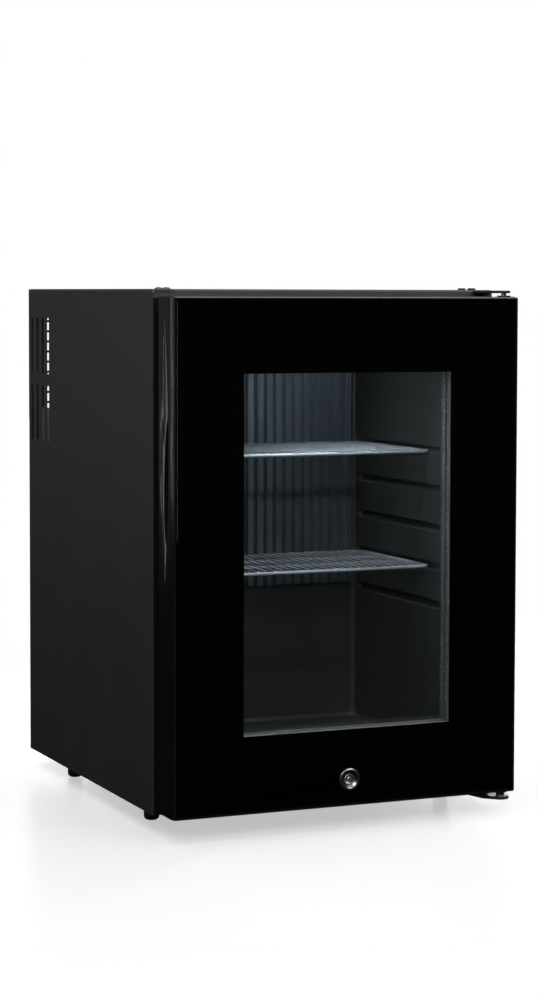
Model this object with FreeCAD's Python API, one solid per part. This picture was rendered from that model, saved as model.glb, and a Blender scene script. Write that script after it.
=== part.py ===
import FreeCAD, Part
import math
import os

V = FreeCAD.Vector

# Millimetres. X runs to the right seen from the front, Y to the back, Z up.
# While the pieces are made, Y = 0 is the cabinet's front face and Z = 0 the floor.
# When they are saved they move along Y, so that the origin lies below the middle of the whole.

# Cabinet shell
cabinet_width = 402.0
cabinet_depth = 424.0
cabinet_top = 576.0
foot_height = 20.0
sheet = 0.6
bend_radius = 3.0
front_flange = 34.0
rear_flange = 12.0
mitre_width = 0.4
fit_gap = 0.2
overrun = 2.0

# Insulated walls and the compartment they leave
side_insulation = 45.0
top_insulation = 40.0
floor_insulation = 42.0
rear_insulation = 60.0
compartment_depth = 260.0
liner_wall = 1.5
liner_radius = 6.0
liner_flange = 15.0

# Shelf grooves in the liner's side walls
groove_count = 5
groove_pitch = 43.5
groove_height = 9.0
groove_depth = 6.0
groove_front = 38.0
groove_rear_gap = 8.0
top_groove_drop = 145.0

# Wire shelves
rail_diameter = 4.0
cross_bar_diameter = 3.6
wire_diameter = 2.6
wire_pitch = 10.4
weld_sink = 0.4
wire_end = 0.8
shelf_front = 68.0
shelf_rear_gap = 17.0
shelf_side_play = 0.7
shelf_lift = 0.35
shelf_corner = 8.0
grooves_above_upper_shelf_count = 0
grooves_above_lower_shelf_count = 3
cross_bar_shares = (1 / 3, 2 / 3)

# Vent slots in both sides, near the rear
vent_columns = 4
vent_rows = 2
vent_pitch = 20.0
vent_width = 8.0
vent_length = 67.0
vent_row_gap = 13.0
vent_rear_inset = 12.5
vent_top_drop = 33.5

# Rear cover and grille
panel_sheet = 0.8
grille_thickness = 2.0
grille_bottom = 420.0
grille_margin = 21.0
grille_mullion = 16.0
grille_rows = 10
grille_pitch = 12.2
grille_gap = 9.4
grille_first_gap = 9.0
panel_screw_inset = 6.0

# Door
door_depth = 44.5
door_gap = 16.0
door_rise = 5.0
door_top_gap = 7.2
door_wall = 3.5
door_corner_radius = 2.0
door_lip_radius = 0.8
bezel_depth = 8.0
bezel_groove_width = 1.0
bezel_groove_depth = 0.7
ledge_thickness = 2.5
glass_margin = 3.5
glass_fit = 0.3
inner_frame_sheet = 2.0
inner_frame_inset = 2.0

# Glazing: three panes held apart by two hollow bars
pane = 4.0
glass_chamfer = 1.5
print_thickness = 0.3
spacer_depth = 8.0
spacer_width = 8.0
window_width = 241.0
window_height = 380.5
window_bottom_rise = 82.5
pane_overlap = 14.0
pane_fit = 0.2
collar_wall = 2.0
inner_frame_reveal = 9.5

# Grip in the door's left edge
grip_block_depth = 27.0
grip_block_height = 244.0
grip_centre_rise = 352.0
scoop_rim = 0.5
scoop_depth = 3.5
scoop_half_width = 11.5
scoop_half_height = 118.0
recess_wall = 3.5
recess_depth = 22.0
recess_half_width = 9.5
recess_half_height = 72.0

# Gasket on the door's rear face
gasket_side_inset = 12.0
gasket_bottom_inset = 14.0
gasket_width = 16.0
gasket_base = 2.5
gasket_waist = 9.0
gasket_head = 5.0
gasket_head_inset = 1.0
gasket_seat_gap = 0.4
gasket_root_width = 4.0
gasket_root_depth = 1.2
magnet_width = 9.0
magnet_thickness = 2.5

# Hinges at the door's right edge
pivot_side_inset = 12.0
pivot_front_inset = 12.0
pin_radius = 3.0
pin_play = 0.05
pin_length = 18.0
bush_radius = 5.0
bush_length = 16.0
bush_flange_radius = 7.5
bush_flange = 1.2
washer_radius = 4.6
washer_play = 0.3
hinge_plate = 3.0
bottom_hinge_plate = 3.5
top_tip_radius = 7.0
bottom_tip_radius = 9.5
plate_tail = 44.0
plate_edge_inset = 3.0
top_plate_width = 31.0
slot_width = 24.0
bottom_plate_width = 50.0
boss_wall = 3.5

# Fasteners
hinge_screw_radius = 2.4
hinge_screw_head_radius = 4.4
hinge_screw_head_height = 2.0
hinge_screw_length = 9.0
hinge_screw_inset = 20.0
hinge_screw_first = 12.0
hinge_screw_pitch = 23.0
small_screw_radius = 1.6
small_screw_head_radius = 3.2
small_screw_head_height = 1.8
small_screw_length = 8.0
screw_play = 0.1
drive_slot_width = 0.9
drive_slot_depth_share = 0.5
drive_slot_length_share = 1.3
plug_dome_share = 0.75

# Feet
foot_radius = 8.5
foot_round = 4.5
foot_side_inset = 25.0
front_foot_inset = 71.0
rear_foot_inset = 94.0
foot_screw_radius = 2.4
foot_screw_head_radius = 3.2
foot_screw_head_height = 3.0
foot_screw_recess = 3.0
foot_screw_reach = 10.0

# Lock
lock_rise = 29.0
lock_ring_radius = 12.5
lock_ring_proud = 2.0
lock_ring_round = 1.2
lock_dish_radius = 8.5
lock_dish_depth = 1.6
lock_barrel_radius = 9.5
lock_barrel_length = 28.5
lock_hole_play = 0.3
plug_radius = 6.0
plug_play = 0.05
key_ring_outer = 4.8
key_ring_inner = 2.9
key_ring_depth = 7.0
key_notch_width = 1.6
key_notch_reach = 5.5
nut_radius = 13.5
nut_thickness = 4.0
cam_thickness = 2.0
cam_width = 10.0
cam_reach = 21.6
cam_gap = 2.0
cam_screw_radius = 2.0
cam_screw_depth = 8.0
cam_screw_head_radius = 4.0
cam_screw_head_height = 2.0
lock_pocket_side = 26.0
lock_pocket_height = 42.0

# Strike plate that the lock's cam catches
strike_sheet = 1.5
strike_width = 20.0
strike_foot_width = 36.0
strike_rise = 10.0
strike_lip_height = 6.0
strike_lip_gap = 2.5
strike_slot_play = 3.0
strike_slot_height = 8.5
strike_screw_inset = 4.0

# Cooling: ribbed cold plate, block, thermoelectric module, heat sink, heat pipes and fins
cold_plate_side_gap = 6.0
cold_plate_top_gap = 20.0
cold_plate_height = 290.0
cold_plate_base = 3.0
cold_rib_height = 9.0
cold_rib_thickness = 1.6
cold_rib_pitch = 12.0
cold_block_width = 60.0
cold_block_rise = 350.0
module_width = 40.0
module_thickness = 3.8
sink_base_width = 110.0
sink_base_height = 90.0
sink_base_thickness = 12.0
pipe_radius = 4.0
pipe_spacing = 26.0
pipe_count = 4
pipe_bend = 22.0
pipe_rise_gap = 8.0
pipe_setback = 42.0
fin_count = 16
fin_pitch = 6.0
fin_thickness = 0.6
fin_width = 290.0
fin_depth = 66.0
fin_first = 456.0
pipe_hole_play = 0.05
bulkhead_sheet = 0.6

# Power supply box, its circuit board and the mains inlet
control_left = 13.0
control_width = 80.0
control_bottom = 290.0
control_height = 143.0
control_front_gap = 26.0
control_wall = 1.5
board_thickness = 1.6
board_margin = 6.0
board_standoff = 8.0
# Transformer and cooling tab: left, right, reach, bottom and top as shares of the board and its room
board_block_shares = ((0.10, 0.55, 0.50, 0.62, 0.92), (0.65, 0.70, 0.45, 0.50, 0.90))
# Capacitors: place across, place up, reach and radius, as shares in the same way
board_can_shares = ((0.84, 0.72, 0.40, 0.09), (0.84, 0.45, 0.30, 0.09))
inlet_width = 28.0
inlet_height = 21.0
inlet_depth = 19.0
inlet_wall = 2.0
inlet_rise = 30.0
inlet_face = 1.2
inlet_face_margin = 4.0
inlet_pin_length = 10.0
inlet_pin_width = 2.0
inlet_pin_height = 4.0
inlet_pin_spacing = 7.0
inlet_pin_lift = 2.0
lead_radius = 1.3
lead_bend = 8.0
lead_spacing = 10.0

# Light and thermostat unit under the compartment's ceiling
unit_width = 104.0
unit_front = 22.0
unit_depth = 46.0
unit_height = 22.0
unit_wall = 2.0
lens_width = 46.0
lens_depth = 24.0
lens_lip = 2.0
lens_thickness = 2.0
led_board_thickness = 1.6
led_size = 3.2
led_height = 1.0
led_standoff = 3.0
led_post = 1.6
led_count = 5
control_offset = 34.0
knob_radius = 8.5
knob_depth = 9.0
knob_gap = 0.6
knob_grip_count = 12
knob_grip_radius = 1.1
knob_rim_radius = 0.7
knob_pointer_width = 1.1
knob_pointer_depth = 0.6
knob_shaft_radius = 3.0
knob_shaft_length = 12.0
thermostat_size = 16.0
rocker_width = 11.0
rocker_height = 13.0
rocker_depth = 8.0
rocker_tilt = 9.0
rocker_back_share = 0.6
rocker_pin_radius = 1.5
rocker_case_depth = 12.0
rocker_case_floor = 2.0
rocker_play = 0.4
rocker_swing_room = 1.3
rocker_pin_play = 0.05
rocker_case_wall = 1.5

# Places worked out from the sizes above
half_width = cabinet_width / 2
inner_half = half_width - side_insulation
floor_z = foot_height + floor_insulation
ceiling_z = cabinet_top - top_insulation
foam_rear = compartment_depth + rear_insulation
bulkhead_rear = foam_rear + bulkhead_sheet
rear_face = cabinet_depth + grille_thickness + small_screw_head_height
door_rear = -door_gap
door_front = door_rear - door_depth
door_bottom = foot_height + door_rise
door_top = cabinet_top - door_top_gap
front_face = door_front - lock_ring_proud
middle_y = (rear_face + front_face) / 2
glass_back = door_front + pane
ledge_front = glass_back + print_thickness
ledge_back = ledge_front + ledge_thickness
frame_rear = door_rear - inner_frame_sheet
window_half = window_width / 2
window_bottom = door_bottom + window_bottom_rise
window_top = window_bottom + window_height
pane_half = window_half + pane_overlap
pane_bottom = window_bottom - pane_overlap
pane_top = window_top + pane_overlap
middle_pane_front = ledge_front + spacer_depth
rear_spacer_front = middle_pane_front + pane
inner_pane_front = rear_spacer_front + spacer_depth
inner_pane_back = inner_pane_front + pane
pivot_x = half_width - pivot_side_inset
pivot_y = door_front + pivot_front_inset
lock_z = door_bottom + lock_rise
grip_z = door_bottom + grip_centre_rise
top_groove_floor = ceiling_z - top_groove_drop
cam_front = door_front + lock_barrel_length + cam_gap
strike_z = foot_height + strike_rise
strike_lip_back = cam_front - strike_lip_gap
strike_tip = strike_lip_back - strike_sheet
gasket_half = half_width - gasket_side_inset
gasket_bottom = door_bottom + gasket_bottom_inset
gasket_top = door_top - gasket_side_inset
hinge_plate_top = cabinet_top - sheet
hinge_plate_bottom = hinge_plate_top - hinge_plate
foot_places = [
    ("front_left", -half_width + foot_side_inset, front_foot_inset),
    ("front_right", half_width - foot_side_inset, front_foot_inset),
    ("rear_left", -half_width + foot_side_inset, cabinet_depth - rear_foot_inset),
    ("rear_right", half_width - foot_side_inset, cabinet_depth - rear_foot_inset),
]
top_screw_places = [
    (half_width - hinge_screw_inset, hinge_screw_first),
    (half_width - hinge_screw_inset, hinge_screw_first + hinge_screw_pitch),
]
control_x = -half_width + control_left
unit_rear = unit_front + unit_depth
unit_bottom = ceiling_z - unit_height
unit_middle = ceiling_z - unit_height / 2


# Small helpers
straight_share = 0.001


def box(x0, x1, y0, y1, z0, z1):
    return Part.makeBox(x1 - x0, y1 - y0, z1 - z0, V(x0, y0, z0))


def frame_ring(outer_half, outer_low, outer_high, width, y0, y1):
    outer = box(-outer_half, outer_half, y0, y1, outer_low, outer_high)
    inner = box(-outer_half + width, outer_half - width, y0 - overrun, y1 + overrun,
                outer_low + width, outer_high - width)
    return outer.cut(inner)


def upright(x, y, z0, z1, radius):
    return Part.makeCylinder(radius, z1 - z0, V(x, y, z0), V(0, 0, 1))


def lengthwise(x, z, y0, y1, radius):
    return Part.makeCylinder(radius, y1 - y0, V(x, y0, z), V(0, 1, 0))


def crosswise(y, z, x0, x1, radius):
    return Part.makeCylinder(radius, x1 - x0, V(x0, y, z), V(1, 0, 0))


def joined(shapes):
    result = shapes[0]
    if len(shapes) > 1:
        result = result.fuse(shapes[1:])
    return result.removeSplitter()


def without(shape, tools):
    return shape.cut(tools) if tools else shape


def mirrored(shape):
    return shape.mirror(V(0, 0, 0), V(1, 0, 0))


def rounded(shape, radius, chosen):
    edges = [edge for edge in shape.Edges if chosen(edge)]
    return shape.makeFillet(radius, edges)


def flat_outline(points, z0, z1):
    corners = [V(x, y, z0) for x, y in points]
    wire = Part.makePolygon(corners + corners[:1])
    return Part.Face(wire).extrude(V(0, 0, z1 - z0))


def along_y(edge):
    start, end = edge.Vertexes[0].Point, edge.Vertexes[-1].Point
    return abs(abs((end - start).y) - edge.Length) < edge.Length * straight_share


def arch(half, low, high, radius, y0, y1):
    """A block with its two upper long edges rounded, the form of a bent sheet's outside."""
    block = box(-half, half, y0, y1, low, high)
    return rounded(block, radius, lambda edge: along_y(edge) and edge.CenterOfMass.z > (low + high) / 2)


def tube_along(points, bend, radius):
    """A round bar along straight runs joined by arcs that touch them."""
    edges = []
    start = points[0]
    for before, corner, after in zip(points, points[1:], points[2:]):
        way_in = (corner - before).normalize()
        way_out = (after - corner).normalize()
        turn = way_in.getAngle(way_out)
        cut_back = bend * math.tan(turn / 2)
        arc_start = corner - way_in * cut_back
        arc_end = corner + way_out * cut_back
        inward = (way_out - way_in).normalize()
        centre = corner + inward * (bend / math.cos(turn / 2))
        arc_middle = centre - inward * bend
        edges.append(Part.LineSegment(start, arc_start).toShape())
        edges.append(Part.Arc(arc_start, arc_middle, arc_end).toShape())
        start = arc_end
    edges.append(Part.LineSegment(start, points[-1]).toShape())
    path = Part.Wire(edges)
    section = Part.Wire([Part.makeCircle(radius, points[0], points[1] - points[0])])
    return path.makePipeShell([section], True, False)


def screw(place, way, radius, length, head_radius, head_height):
    """A pan-head screw: its head's seat is at place, its shank runs along way."""
    shank = upright(0, 0, 0, length, radius)
    head = upright(0, 0, -head_height, 0, head_radius)
    rim = [edge for edge in head.Edges if len(edge.Vertexes) == 1 and edge.CenterOfMass.z < -head_height / 2]
    head = head.makeFillet(head_height / 2, rim)
    reach = head_radius * drive_slot_length_share / 2
    half = drive_slot_width / 2
    floor = head_height * drive_slot_depth_share - head_height
    first = box(-reach, reach, -half, half, -head_height - overrun, floor)
    second = box(-half, half, -reach, reach, -head_height - overrun, floor)
    made = joined([head, shank]).cut([first, second])
    made.Placement = FreeCAD.Placement(place, FreeCAD.Rotation(V(0, 0, 1), way))
    return made


def saved(name, shapes):
    """Write one sub-part: a single solid, or a group of separate solids."""
    solids = shapes if isinstance(shapes, list) else [shapes]
    moved = []
    for shape in solids:
        copy = shape.copy()
        copy.translate(V(0, -middle_y, 0))
        moved.extend(copy.Solids)
    result = moved[0] if len(moved) == 1 else Part.makeCompound(moved)
    good = result.isValid()
    print(f"{name}: {len(moved)} solids, volume {sum(s.Volume for s in moved):.0f}, valid {good}")
    result.exportStep(f"parts/{name}.step")


# Cabinet shell
def vent_tools():
    tools = []
    first_y = cabinet_depth - vent_rear_inset
    for column in range(vent_columns):
        y = first_y - column * vent_pitch
        for row in range(vent_rows):
            high = cabinet_top - vent_top_drop - row * (vent_length + vent_row_gap)
            low = high - vent_length
            radius = vent_width / 2
            x0 = -half_width - overrun
            x1 = half_width + overrun
            tools.append(box(x0, x1, y - radius, y + radius, low + radius, high - radius))
            tools.append(crosswise(y, low + radius, x0, x1, radius))
            tools.append(crosswise(y, high - radius, x0, x1, radius))
    return tools


def mitre_tools():
    """The two fine gaps where the turned-in front flanges meet at the upper corners."""
    tools = []
    for side in (-1, 1):
        length = math.hypot(front_flange, front_flange) - bend_radius
        cutter = Part.makeBox(length, sheet + overrun, mitre_width,
                              V(0, -overrun / 2, -mitre_width / 2))
        cutter.rotate(V(0, 0, 0), V(0, 1, 0), 45 if side < 0 else 135)
        x = side * (half_width - bend_radius / 2)
        cutter.translate(V(x, 0, cabinet_top - bend_radius / 2))
        tools.append(cutter)
    return tools


def hinge_slot(side):
    """The opening in the upper front flange that the hinge plate comes through."""
    outer = half_width - sheet
    slot = box(outer - slot_width, outer, -overrun, sheet + overrun,
               hinge_plate_bottom, hinge_plate_top)
    return slot if side > 0 else mirrored(slot)


def screw_hole_tools(radius):
    tools = []
    for x, y in top_screw_places:
        for side in (-1, 1):
            low = cabinet_top - hinge_screw_length - overrun
            tools.append(upright(side * x, y, low, cabinet_top + overrun, radius))
    return tools


def cabinet_wrap():
    outer = arch(half_width, foot_height, cabinet_top, bend_radius, 0, cabinet_depth)
    inner = arch(half_width - sheet, foot_height - overrun, cabinet_top - sheet,
                 bend_radius - sheet, sheet, cabinet_depth - sheet)
    front_way = box(-half_width + front_flange, half_width - front_flange, -overrun, sheet + overrun,
                    foot_height - overrun, cabinet_top - front_flange)
    rear_way = box(-half_width + rear_flange, half_width - rear_flange, cabinet_depth - sheet - overrun,
                   cabinet_depth + overrun, foot_height - overrun, cabinet_top - rear_flange)
    tools = [inner, front_way, rear_way, hinge_slot(1), hinge_slot(-1)]
    tools += vent_tools() + mitre_tools() + screw_hole_tools(hinge_screw_radius + screw_play)
    tools += panel_screw_tools(small_screw_radius + screw_play)
    return without(outer, tools)


def base_plate():
    half = half_width - sheet
    floor = box(-half, half, 0, cabinet_depth, foot_height, foot_height + sheet)
    front_half = half_width - front_flange - fit_gap
    front = box(-front_half, front_half, 0, sheet, foot_height, foot_height + front_flange)
    rear_half = half_width - rear_flange - fit_gap
    rear = box(-rear_half, rear_half, cabinet_depth - sheet, cabinet_depth,
               foot_height, foot_height + rear_flange)
    corner = half_width - sheet - front_half
    notches = [box(front_half, front_half + corner, -overrun, sheet,
                   foot_height, foot_height + sheet + overrun)]
    rear_corner = half_width - sheet - rear_half
    notches.append(box(rear_half, rear_half + rear_corner, cabinet_depth - sheet, cabinet_depth + overrun,
                       foot_height, foot_height + sheet + overrun))
    notches += [mirrored(notch) for notch in notches]
    tools = notches + foot_screw_tools() + bottom_hinge_screw_tools() + strike_screw_tools()
    tools += panel_screw_tools(small_screw_radius + screw_play)
    return without(joined([floor, front, rear]), tools)


def panel_screw_places():
    """Places of the small screws round the rear cover and the rear grille, as (x, z)."""
    side = half_width - panel_screw_inset
    top = cabinet_top - panel_screw_inset
    low = foot_height + panel_screw_inset
    panel_high = grille_bottom - panel_screw_inset
    grille_low = grille_bottom + panel_screw_inset
    grille = [(-side, top), (0, top), (side, top), (-side, grille_low), (side, grille_low)]
    middle = (low + panel_high) / 2
    panel = [(-side, low), (0, low), (side, low), (-side, middle), (side, middle),
             (-side, panel_high), (side, panel_high)]
    return grille, panel


def panel_screw_tools(radius):
    grille, panel = panel_screw_places()
    low = cabinet_depth - small_screw_length - overrun
    return [lengthwise(x, z, low, rear_face + overrun, radius) for x, z in grille + panel]


def inlet_place():
    return control_x + control_width / 2, control_bottom + inlet_rise


def back_panel():
    half = half_width - fit_gap
    sheet_metal = box(-half, half, cabinet_depth, cabinet_depth + panel_sheet,
                      foot_height, grille_bottom - fit_gap)
    x, z = inlet_place()
    window = box(x - inlet_width / 2 - fit_gap, x + inlet_width / 2 + fit_gap,
                 cabinet_depth - overrun, cabinet_depth + panel_sheet + overrun,
                 z - inlet_height / 2 - fit_gap, z + inlet_height / 2 + fit_gap)
    return without(sheet_metal, [window] + panel_screw_tools(small_screw_radius + screw_play))


def rear_grille():
    half = half_width - fit_gap
    plate = box(-half, half, cabinet_depth, cabinet_depth + grille_thickness,
                grille_bottom, cabinet_top - fit_gap)
    tools = panel_screw_tools(small_screw_radius + screw_play)
    for row in range(grille_rows):
        low = grille_bottom + grille_first_gap + row * grille_pitch
        for side in (-1, 1):
            near = side * grille_mullion / 2
            far = side * (half_width - grille_margin)
            tools.append(box(min(near, far), max(near, far), cabinet_depth - overrun,
                             cabinet_depth + grille_thickness + overrun, low, low + grille_gap))
    return without(plate, tools)


def small_screws():
    """The same screw holds the rear cover, the grille and the strike plate."""
    grille, panel = panel_screw_places()
    way = V(0, -1, 0)
    screws = []
    for places, seat in ((grille, cabinet_depth + grille_thickness), (panel, cabinet_depth + panel_sheet)):
        for x, z in places:
            screws.append(screw(V(x, seat, z), way, small_screw_radius, small_screw_length,
                                small_screw_head_radius, small_screw_head_height))
    return screws + strike_screws()


# Liner and insulation
def groove_floors():
    return [top_groove_floor - index * groove_pitch for index in range(groove_count)]


def liner_form(extra, front):
    """The compartment's block with its grooves, grown outwards by extra on every wall."""
    half = inner_half + extra
    block = box(-half, half, front, compartment_depth + extra, floor_z - extra, ceiling_z + extra)
    radius = liner_radius + extra

    def at_rear_or_long(edge):
        return along_y(edge) or edge.BoundBox.YMin > compartment_depth + extra - radius / 2

    block = rounded(block, radius, at_rear_or_long)
    grooves = []
    for low in groove_floors():
        grooves.append(box(-half - groove_depth, half + groove_depth, groove_front - extra,
                           compartment_depth - groove_rear_gap + extra,
                           low - extra, low + groove_height + extra))
    return joined([block] + grooves)


def liner_front_plate(extra):
    half = inner_half + liner_flange + extra
    return box(-half, half, sheet, sheet + liner_wall + extra,
               floor_z - liner_flange - extra, ceiling_z + liner_flange + extra)


def block_hole(extra):
    half = cold_block_width / 2 + extra
    return box(-half, half, compartment_depth - overrun, foam_rear + overrun,
               cold_block_rise - half, cold_block_rise + half)


def inner_liner():
    shell = joined([liner_form(liner_wall, sheet), liner_front_plate(0)])
    return shell.cut([liner_form(0, -overrun), block_hole(fit_gap)])


def insulation_foam():
    block = arch(half_width - sheet, foot_height + sheet, cabinet_top - sheet,
                 bend_radius - sheet, sheet, foam_rear)
    tools = [liner_form(liner_wall, -overrun), liner_front_plate(0), block_hole(fit_gap)]
    tools.append(top_hinge_plate_form().common(block))
    tools += foot_screw_tools() + bottom_hinge_screw_tools() + strike_screw_tools()
    tools += screw_hole_tools(hinge_screw_radius + screw_play)
    return without(block, tools)


def bulkhead():
    """The thin sheet that closes the foam towards the machine space."""
    half = half_width - sheet - fit_gap
    sheet_metal = box(-half, half, foam_rear, bulkhead_rear, foot_height + sheet,
                      cabinet_top - bend_radius)
    hole = block_hole(fit_gap)
    return without(sheet_metal, [hole])


# Hinges
def top_hinge_plate_form():
    """The upper plate: wide under the top skin, narrow through the flange, round at the pivot."""
    outer = half_width - plate_edge_inset
    wide_left = outer - top_plate_width
    narrow_left = half_width - sheet - slot_width + fit_gap
    shoulder = sheet + fit_gap
    points = [(wide_left, plate_tail), (outer, plate_tail), (outer, 0),
              (pivot_x + top_tip_radius, pivot_y), (pivot_x, pivot_y),
              (pivot_x - top_tip_radius, pivot_y), (narrow_left, -shoulder),
              (narrow_left, shoulder), (wide_left, shoulder)]
    plate = flat_outline(points, hinge_plate_bottom, hinge_plate_top)
    tip = upright(pivot_x, pivot_y, hinge_plate_bottom, hinge_plate_top, top_tip_radius)
    return joined([plate, tip])


def top_hinge_bracket():
    tools = [upright(pivot_x, pivot_y, hinge_plate_bottom - overrun, hinge_plate_top + overrun, pin_radius)]
    for x, y in top_screw_places:
        tools.append(upright(x, y, hinge_plate_bottom - overrun, hinge_plate_top + overrun,
                             hinge_screw_radius + screw_play))
    return without(top_hinge_plate_form(), tools)


def top_hinge_pin():
    return upright(pivot_x, pivot_y, hinge_plate_bottom - pin_length, hinge_plate_top, pin_radius)


def bottom_hinge_screw_places():
    inner = half_width - plate_edge_inset - bottom_plate_width
    left = inner + hinge_screw_first
    right = half_width - hinge_screw_inset
    return [(left, hinge_screw_first), (right, hinge_screw_first),
            (left, hinge_screw_first + hinge_screw_pitch), (right, hinge_screw_first + hinge_screw_pitch)]


def bottom_hinge_screw_tools():
    high = foot_height + hinge_screw_length + overrun
    return [upright(x, y, foot_height - overrun, high, hinge_screw_radius + screw_play)
            for x, y in bottom_hinge_screw_places()]


def bottom_hinge_bracket():
    low = foot_height - bottom_hinge_plate
    outer = half_width - plate_edge_inset
    inner = outer - bottom_plate_width
    tip = bottom_tip_radius
    points = [(inner, plate_tail), (outer, plate_tail), (outer, 0), (pivot_x + tip, pivot_y),
              (pivot_x, pivot_y), (pivot_x - tip * math.sqrt(0.5), pivot_y - tip * math.sqrt(0.5)),
              (pivot_x - tip * 2, pivot_y + tip / 2), (inner + tip, 0), (inner, tip)]
    plate = flat_outline(points, low, foot_height)
    round_tip = upright(pivot_x, pivot_y, low, foot_height, tip)
    tools = [upright(pivot_x, pivot_y, low - overrun, foot_height + overrun, pin_radius)]
    for x, y in bottom_hinge_screw_places():
        tools.append(upright(x, y, low - overrun, foot_height + overrun, hinge_screw_radius + screw_play))
    return without(joined([plate, round_tip]), tools)


def bottom_hinge_pin():
    low = foot_height - bottom_hinge_plate
    return upright(pivot_x, pivot_y, low, foot_height + pin_length, pin_radius)


def hinge_washer():
    high = door_bottom - bush_flange - washer_play
    ring = upright(pivot_x, pivot_y, foot_height, high, washer_radius)
    return ring.cut(upright(pivot_x, pivot_y, foot_height - overrun, high + overrun, pin_radius + pin_play))


def hinge_screws():
    screws = []
    for x, y in top_screw_places:
        screws.append(screw(V(x, y, cabinet_top), V(0, 0, -1), hinge_screw_radius, hinge_screw_length,
                            hinge_screw_head_radius, hinge_screw_head_height))
    for x, y in bottom_hinge_screw_places():
        seat = foot_height - bottom_hinge_plate
        screws.append(screw(V(x, y, seat), V(0, 0, 1), hinge_screw_radius, hinge_screw_length,
                            hinge_screw_head_radius, hinge_screw_head_height))
    return screws


def hinge_hole_plugs():
    """Domed plugs in the spare screw holes for a door hung on the left."""
    plugs = []
    for x, y in top_screw_places:
        head = upright(-x, y, cabinet_top, cabinet_top + hinge_screw_head_height, hinge_screw_head_radius)
        rim = [e for e in head.Edges if e.CenterOfMass.z > cabinet_top and len(e.Vertexes) == 1]
        head = head.makeFillet(hinge_screw_head_height * plug_dome_share, rim)
        stem = upright(-x, y, hinge_plate_bottom, cabinet_top, hinge_screw_radius)
        plugs.append(joined([head, stem]))
    return plugs


def hinge_slot_blank():
    """The small plug that closes the spare hinge slot in the upper left flange."""
    inner = half_width - sheet - slot_width + fit_gap
    outer = half_width - sheet - fit_gap
    plug = box(-outer, -inner, 0, sheet, hinge_plate_bottom + fit_gap, hinge_plate_top)
    lip = box(-outer - fit_gap, -inner + fit_gap, -sheet / 2, 0, hinge_plate_bottom - sheet, hinge_plate_top)
    return joined([plug, lip])


# Feet
def foot_screw_tools():
    high = foot_height + sheet + foot_screw_reach + overrun
    return [upright(x, y, foot_height - overrun, high, foot_screw_radius + screw_play)
            for _, x, y in foot_places]


def foot(x, y):
    body = upright(x, y, 0, foot_height, foot_radius)
    rim = [e for e in body.Edges if e.CenterOfMass.z < foot_height / 2 and len(e.Vertexes) == 1]
    body = body.makeFillet(foot_round, rim)
    recess_top = foot_screw_recess + foot_screw_head_height
    recess = upright(x, y, -overrun, recess_top, foot_screw_head_radius + fit_gap)
    hole = upright(x, y, 0, foot_height + overrun, foot_screw_radius + screw_play)
    return body.cut([recess, hole])


def foot_screws():
    screws = []
    for _, x, y in foot_places:
        seat = foot_screw_recess + foot_screw_head_height
        length = foot_height + sheet + foot_screw_reach - seat
        screws.append(screw(V(x, y, seat), V(0, 0, 1), foot_screw_radius, length,
                            foot_screw_head_radius, foot_screw_head_height))
    return screws


# Strike plate
def strike_screw_tools():
    z = foot_height + strike_screw_inset
    x = strike_foot_width / 2 - strike_screw_inset
    return [lengthwise(side * x, z, -strike_sheet - overrun, small_screw_length + overrun,
                       small_screw_radius + screw_play) for side in (-1, 1)]


def strike_plate():
    half = strike_width / 2
    foot_half = strike_foot_width / 2
    foot_plate = box(-foot_half, foot_half, -strike_sheet, 0, foot_height, strike_z)
    tongue = box(-half, half, strike_tip, 0, strike_z, strike_z + strike_sheet)
    lip = box(-half, half, strike_tip, strike_lip_back, strike_z, strike_z + strike_lip_height)
    root = box(-half, half, -strike_sheet, 0, strike_z - overrun, strike_z + strike_sheet)
    return without(joined([foot_plate, root, tongue, lip]), strike_screw_tools())


def strike_screws():
    z = foot_height + strike_screw_inset
    x = strike_foot_width / 2 - strike_screw_inset
    return [screw(V(side * x, -strike_sheet, z), V(0, 1, 0), small_screw_radius, small_screw_length,
                  small_screw_head_radius, small_screw_head_height) for side in (-1, 1)]


# Cooling unit
def cold_plate():
    half = inner_half - cold_plate_side_gap
    high = ceiling_z - cold_plate_top_gap
    low = high - cold_plate_height
    back = compartment_depth
    face = back - cold_plate_base
    plate = box(-half, half, face, back, low, high)
    count = int(half / cold_rib_pitch)
    ribs = []
    for index in range(-count, count + 1):
        x = index * cold_rib_pitch
        ribs.append(box(x - cold_rib_thickness / 2, x + cold_rib_thickness / 2,
                        face - cold_rib_height, face, low, high))
    return joined([plate] + ribs)


def cold_block():
    half = cold_block_width / 2
    return box(-half, half, compartment_depth, foam_rear, cold_block_rise - half, cold_block_rise + half)


def peltier_module():
    half = module_width / 2
    return box(-half, half, foam_rear, foam_rear + module_thickness,
               cold_block_rise - half, cold_block_rise + half)


def pipe_places():
    first = -(pipe_count - 1) / 2 * pipe_spacing
    return [first + index * pipe_spacing for index in range(pipe_count)]


def pipe_tools(radius):
    """The heat pipes' form: up out of the sink base, back, then up through the fins."""
    front = foam_rear + module_thickness + sink_base_thickness / 2
    rear = front + pipe_setback
    low = cold_block_rise - sink_base_height / 2
    knee = cold_block_rise + sink_base_height / 2 + pipe_rise_gap
    high = fin_first + fin_count * fin_pitch
    shoulder = knee + pipe_setback
    shapes = []
    for x in pipe_places():
        points = [V(x, front, low), V(x, front, knee), V(x, rear, shoulder), V(x, rear, high)]
        shapes.append(tube_along(points, pipe_bend, radius))
    return shapes


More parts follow.
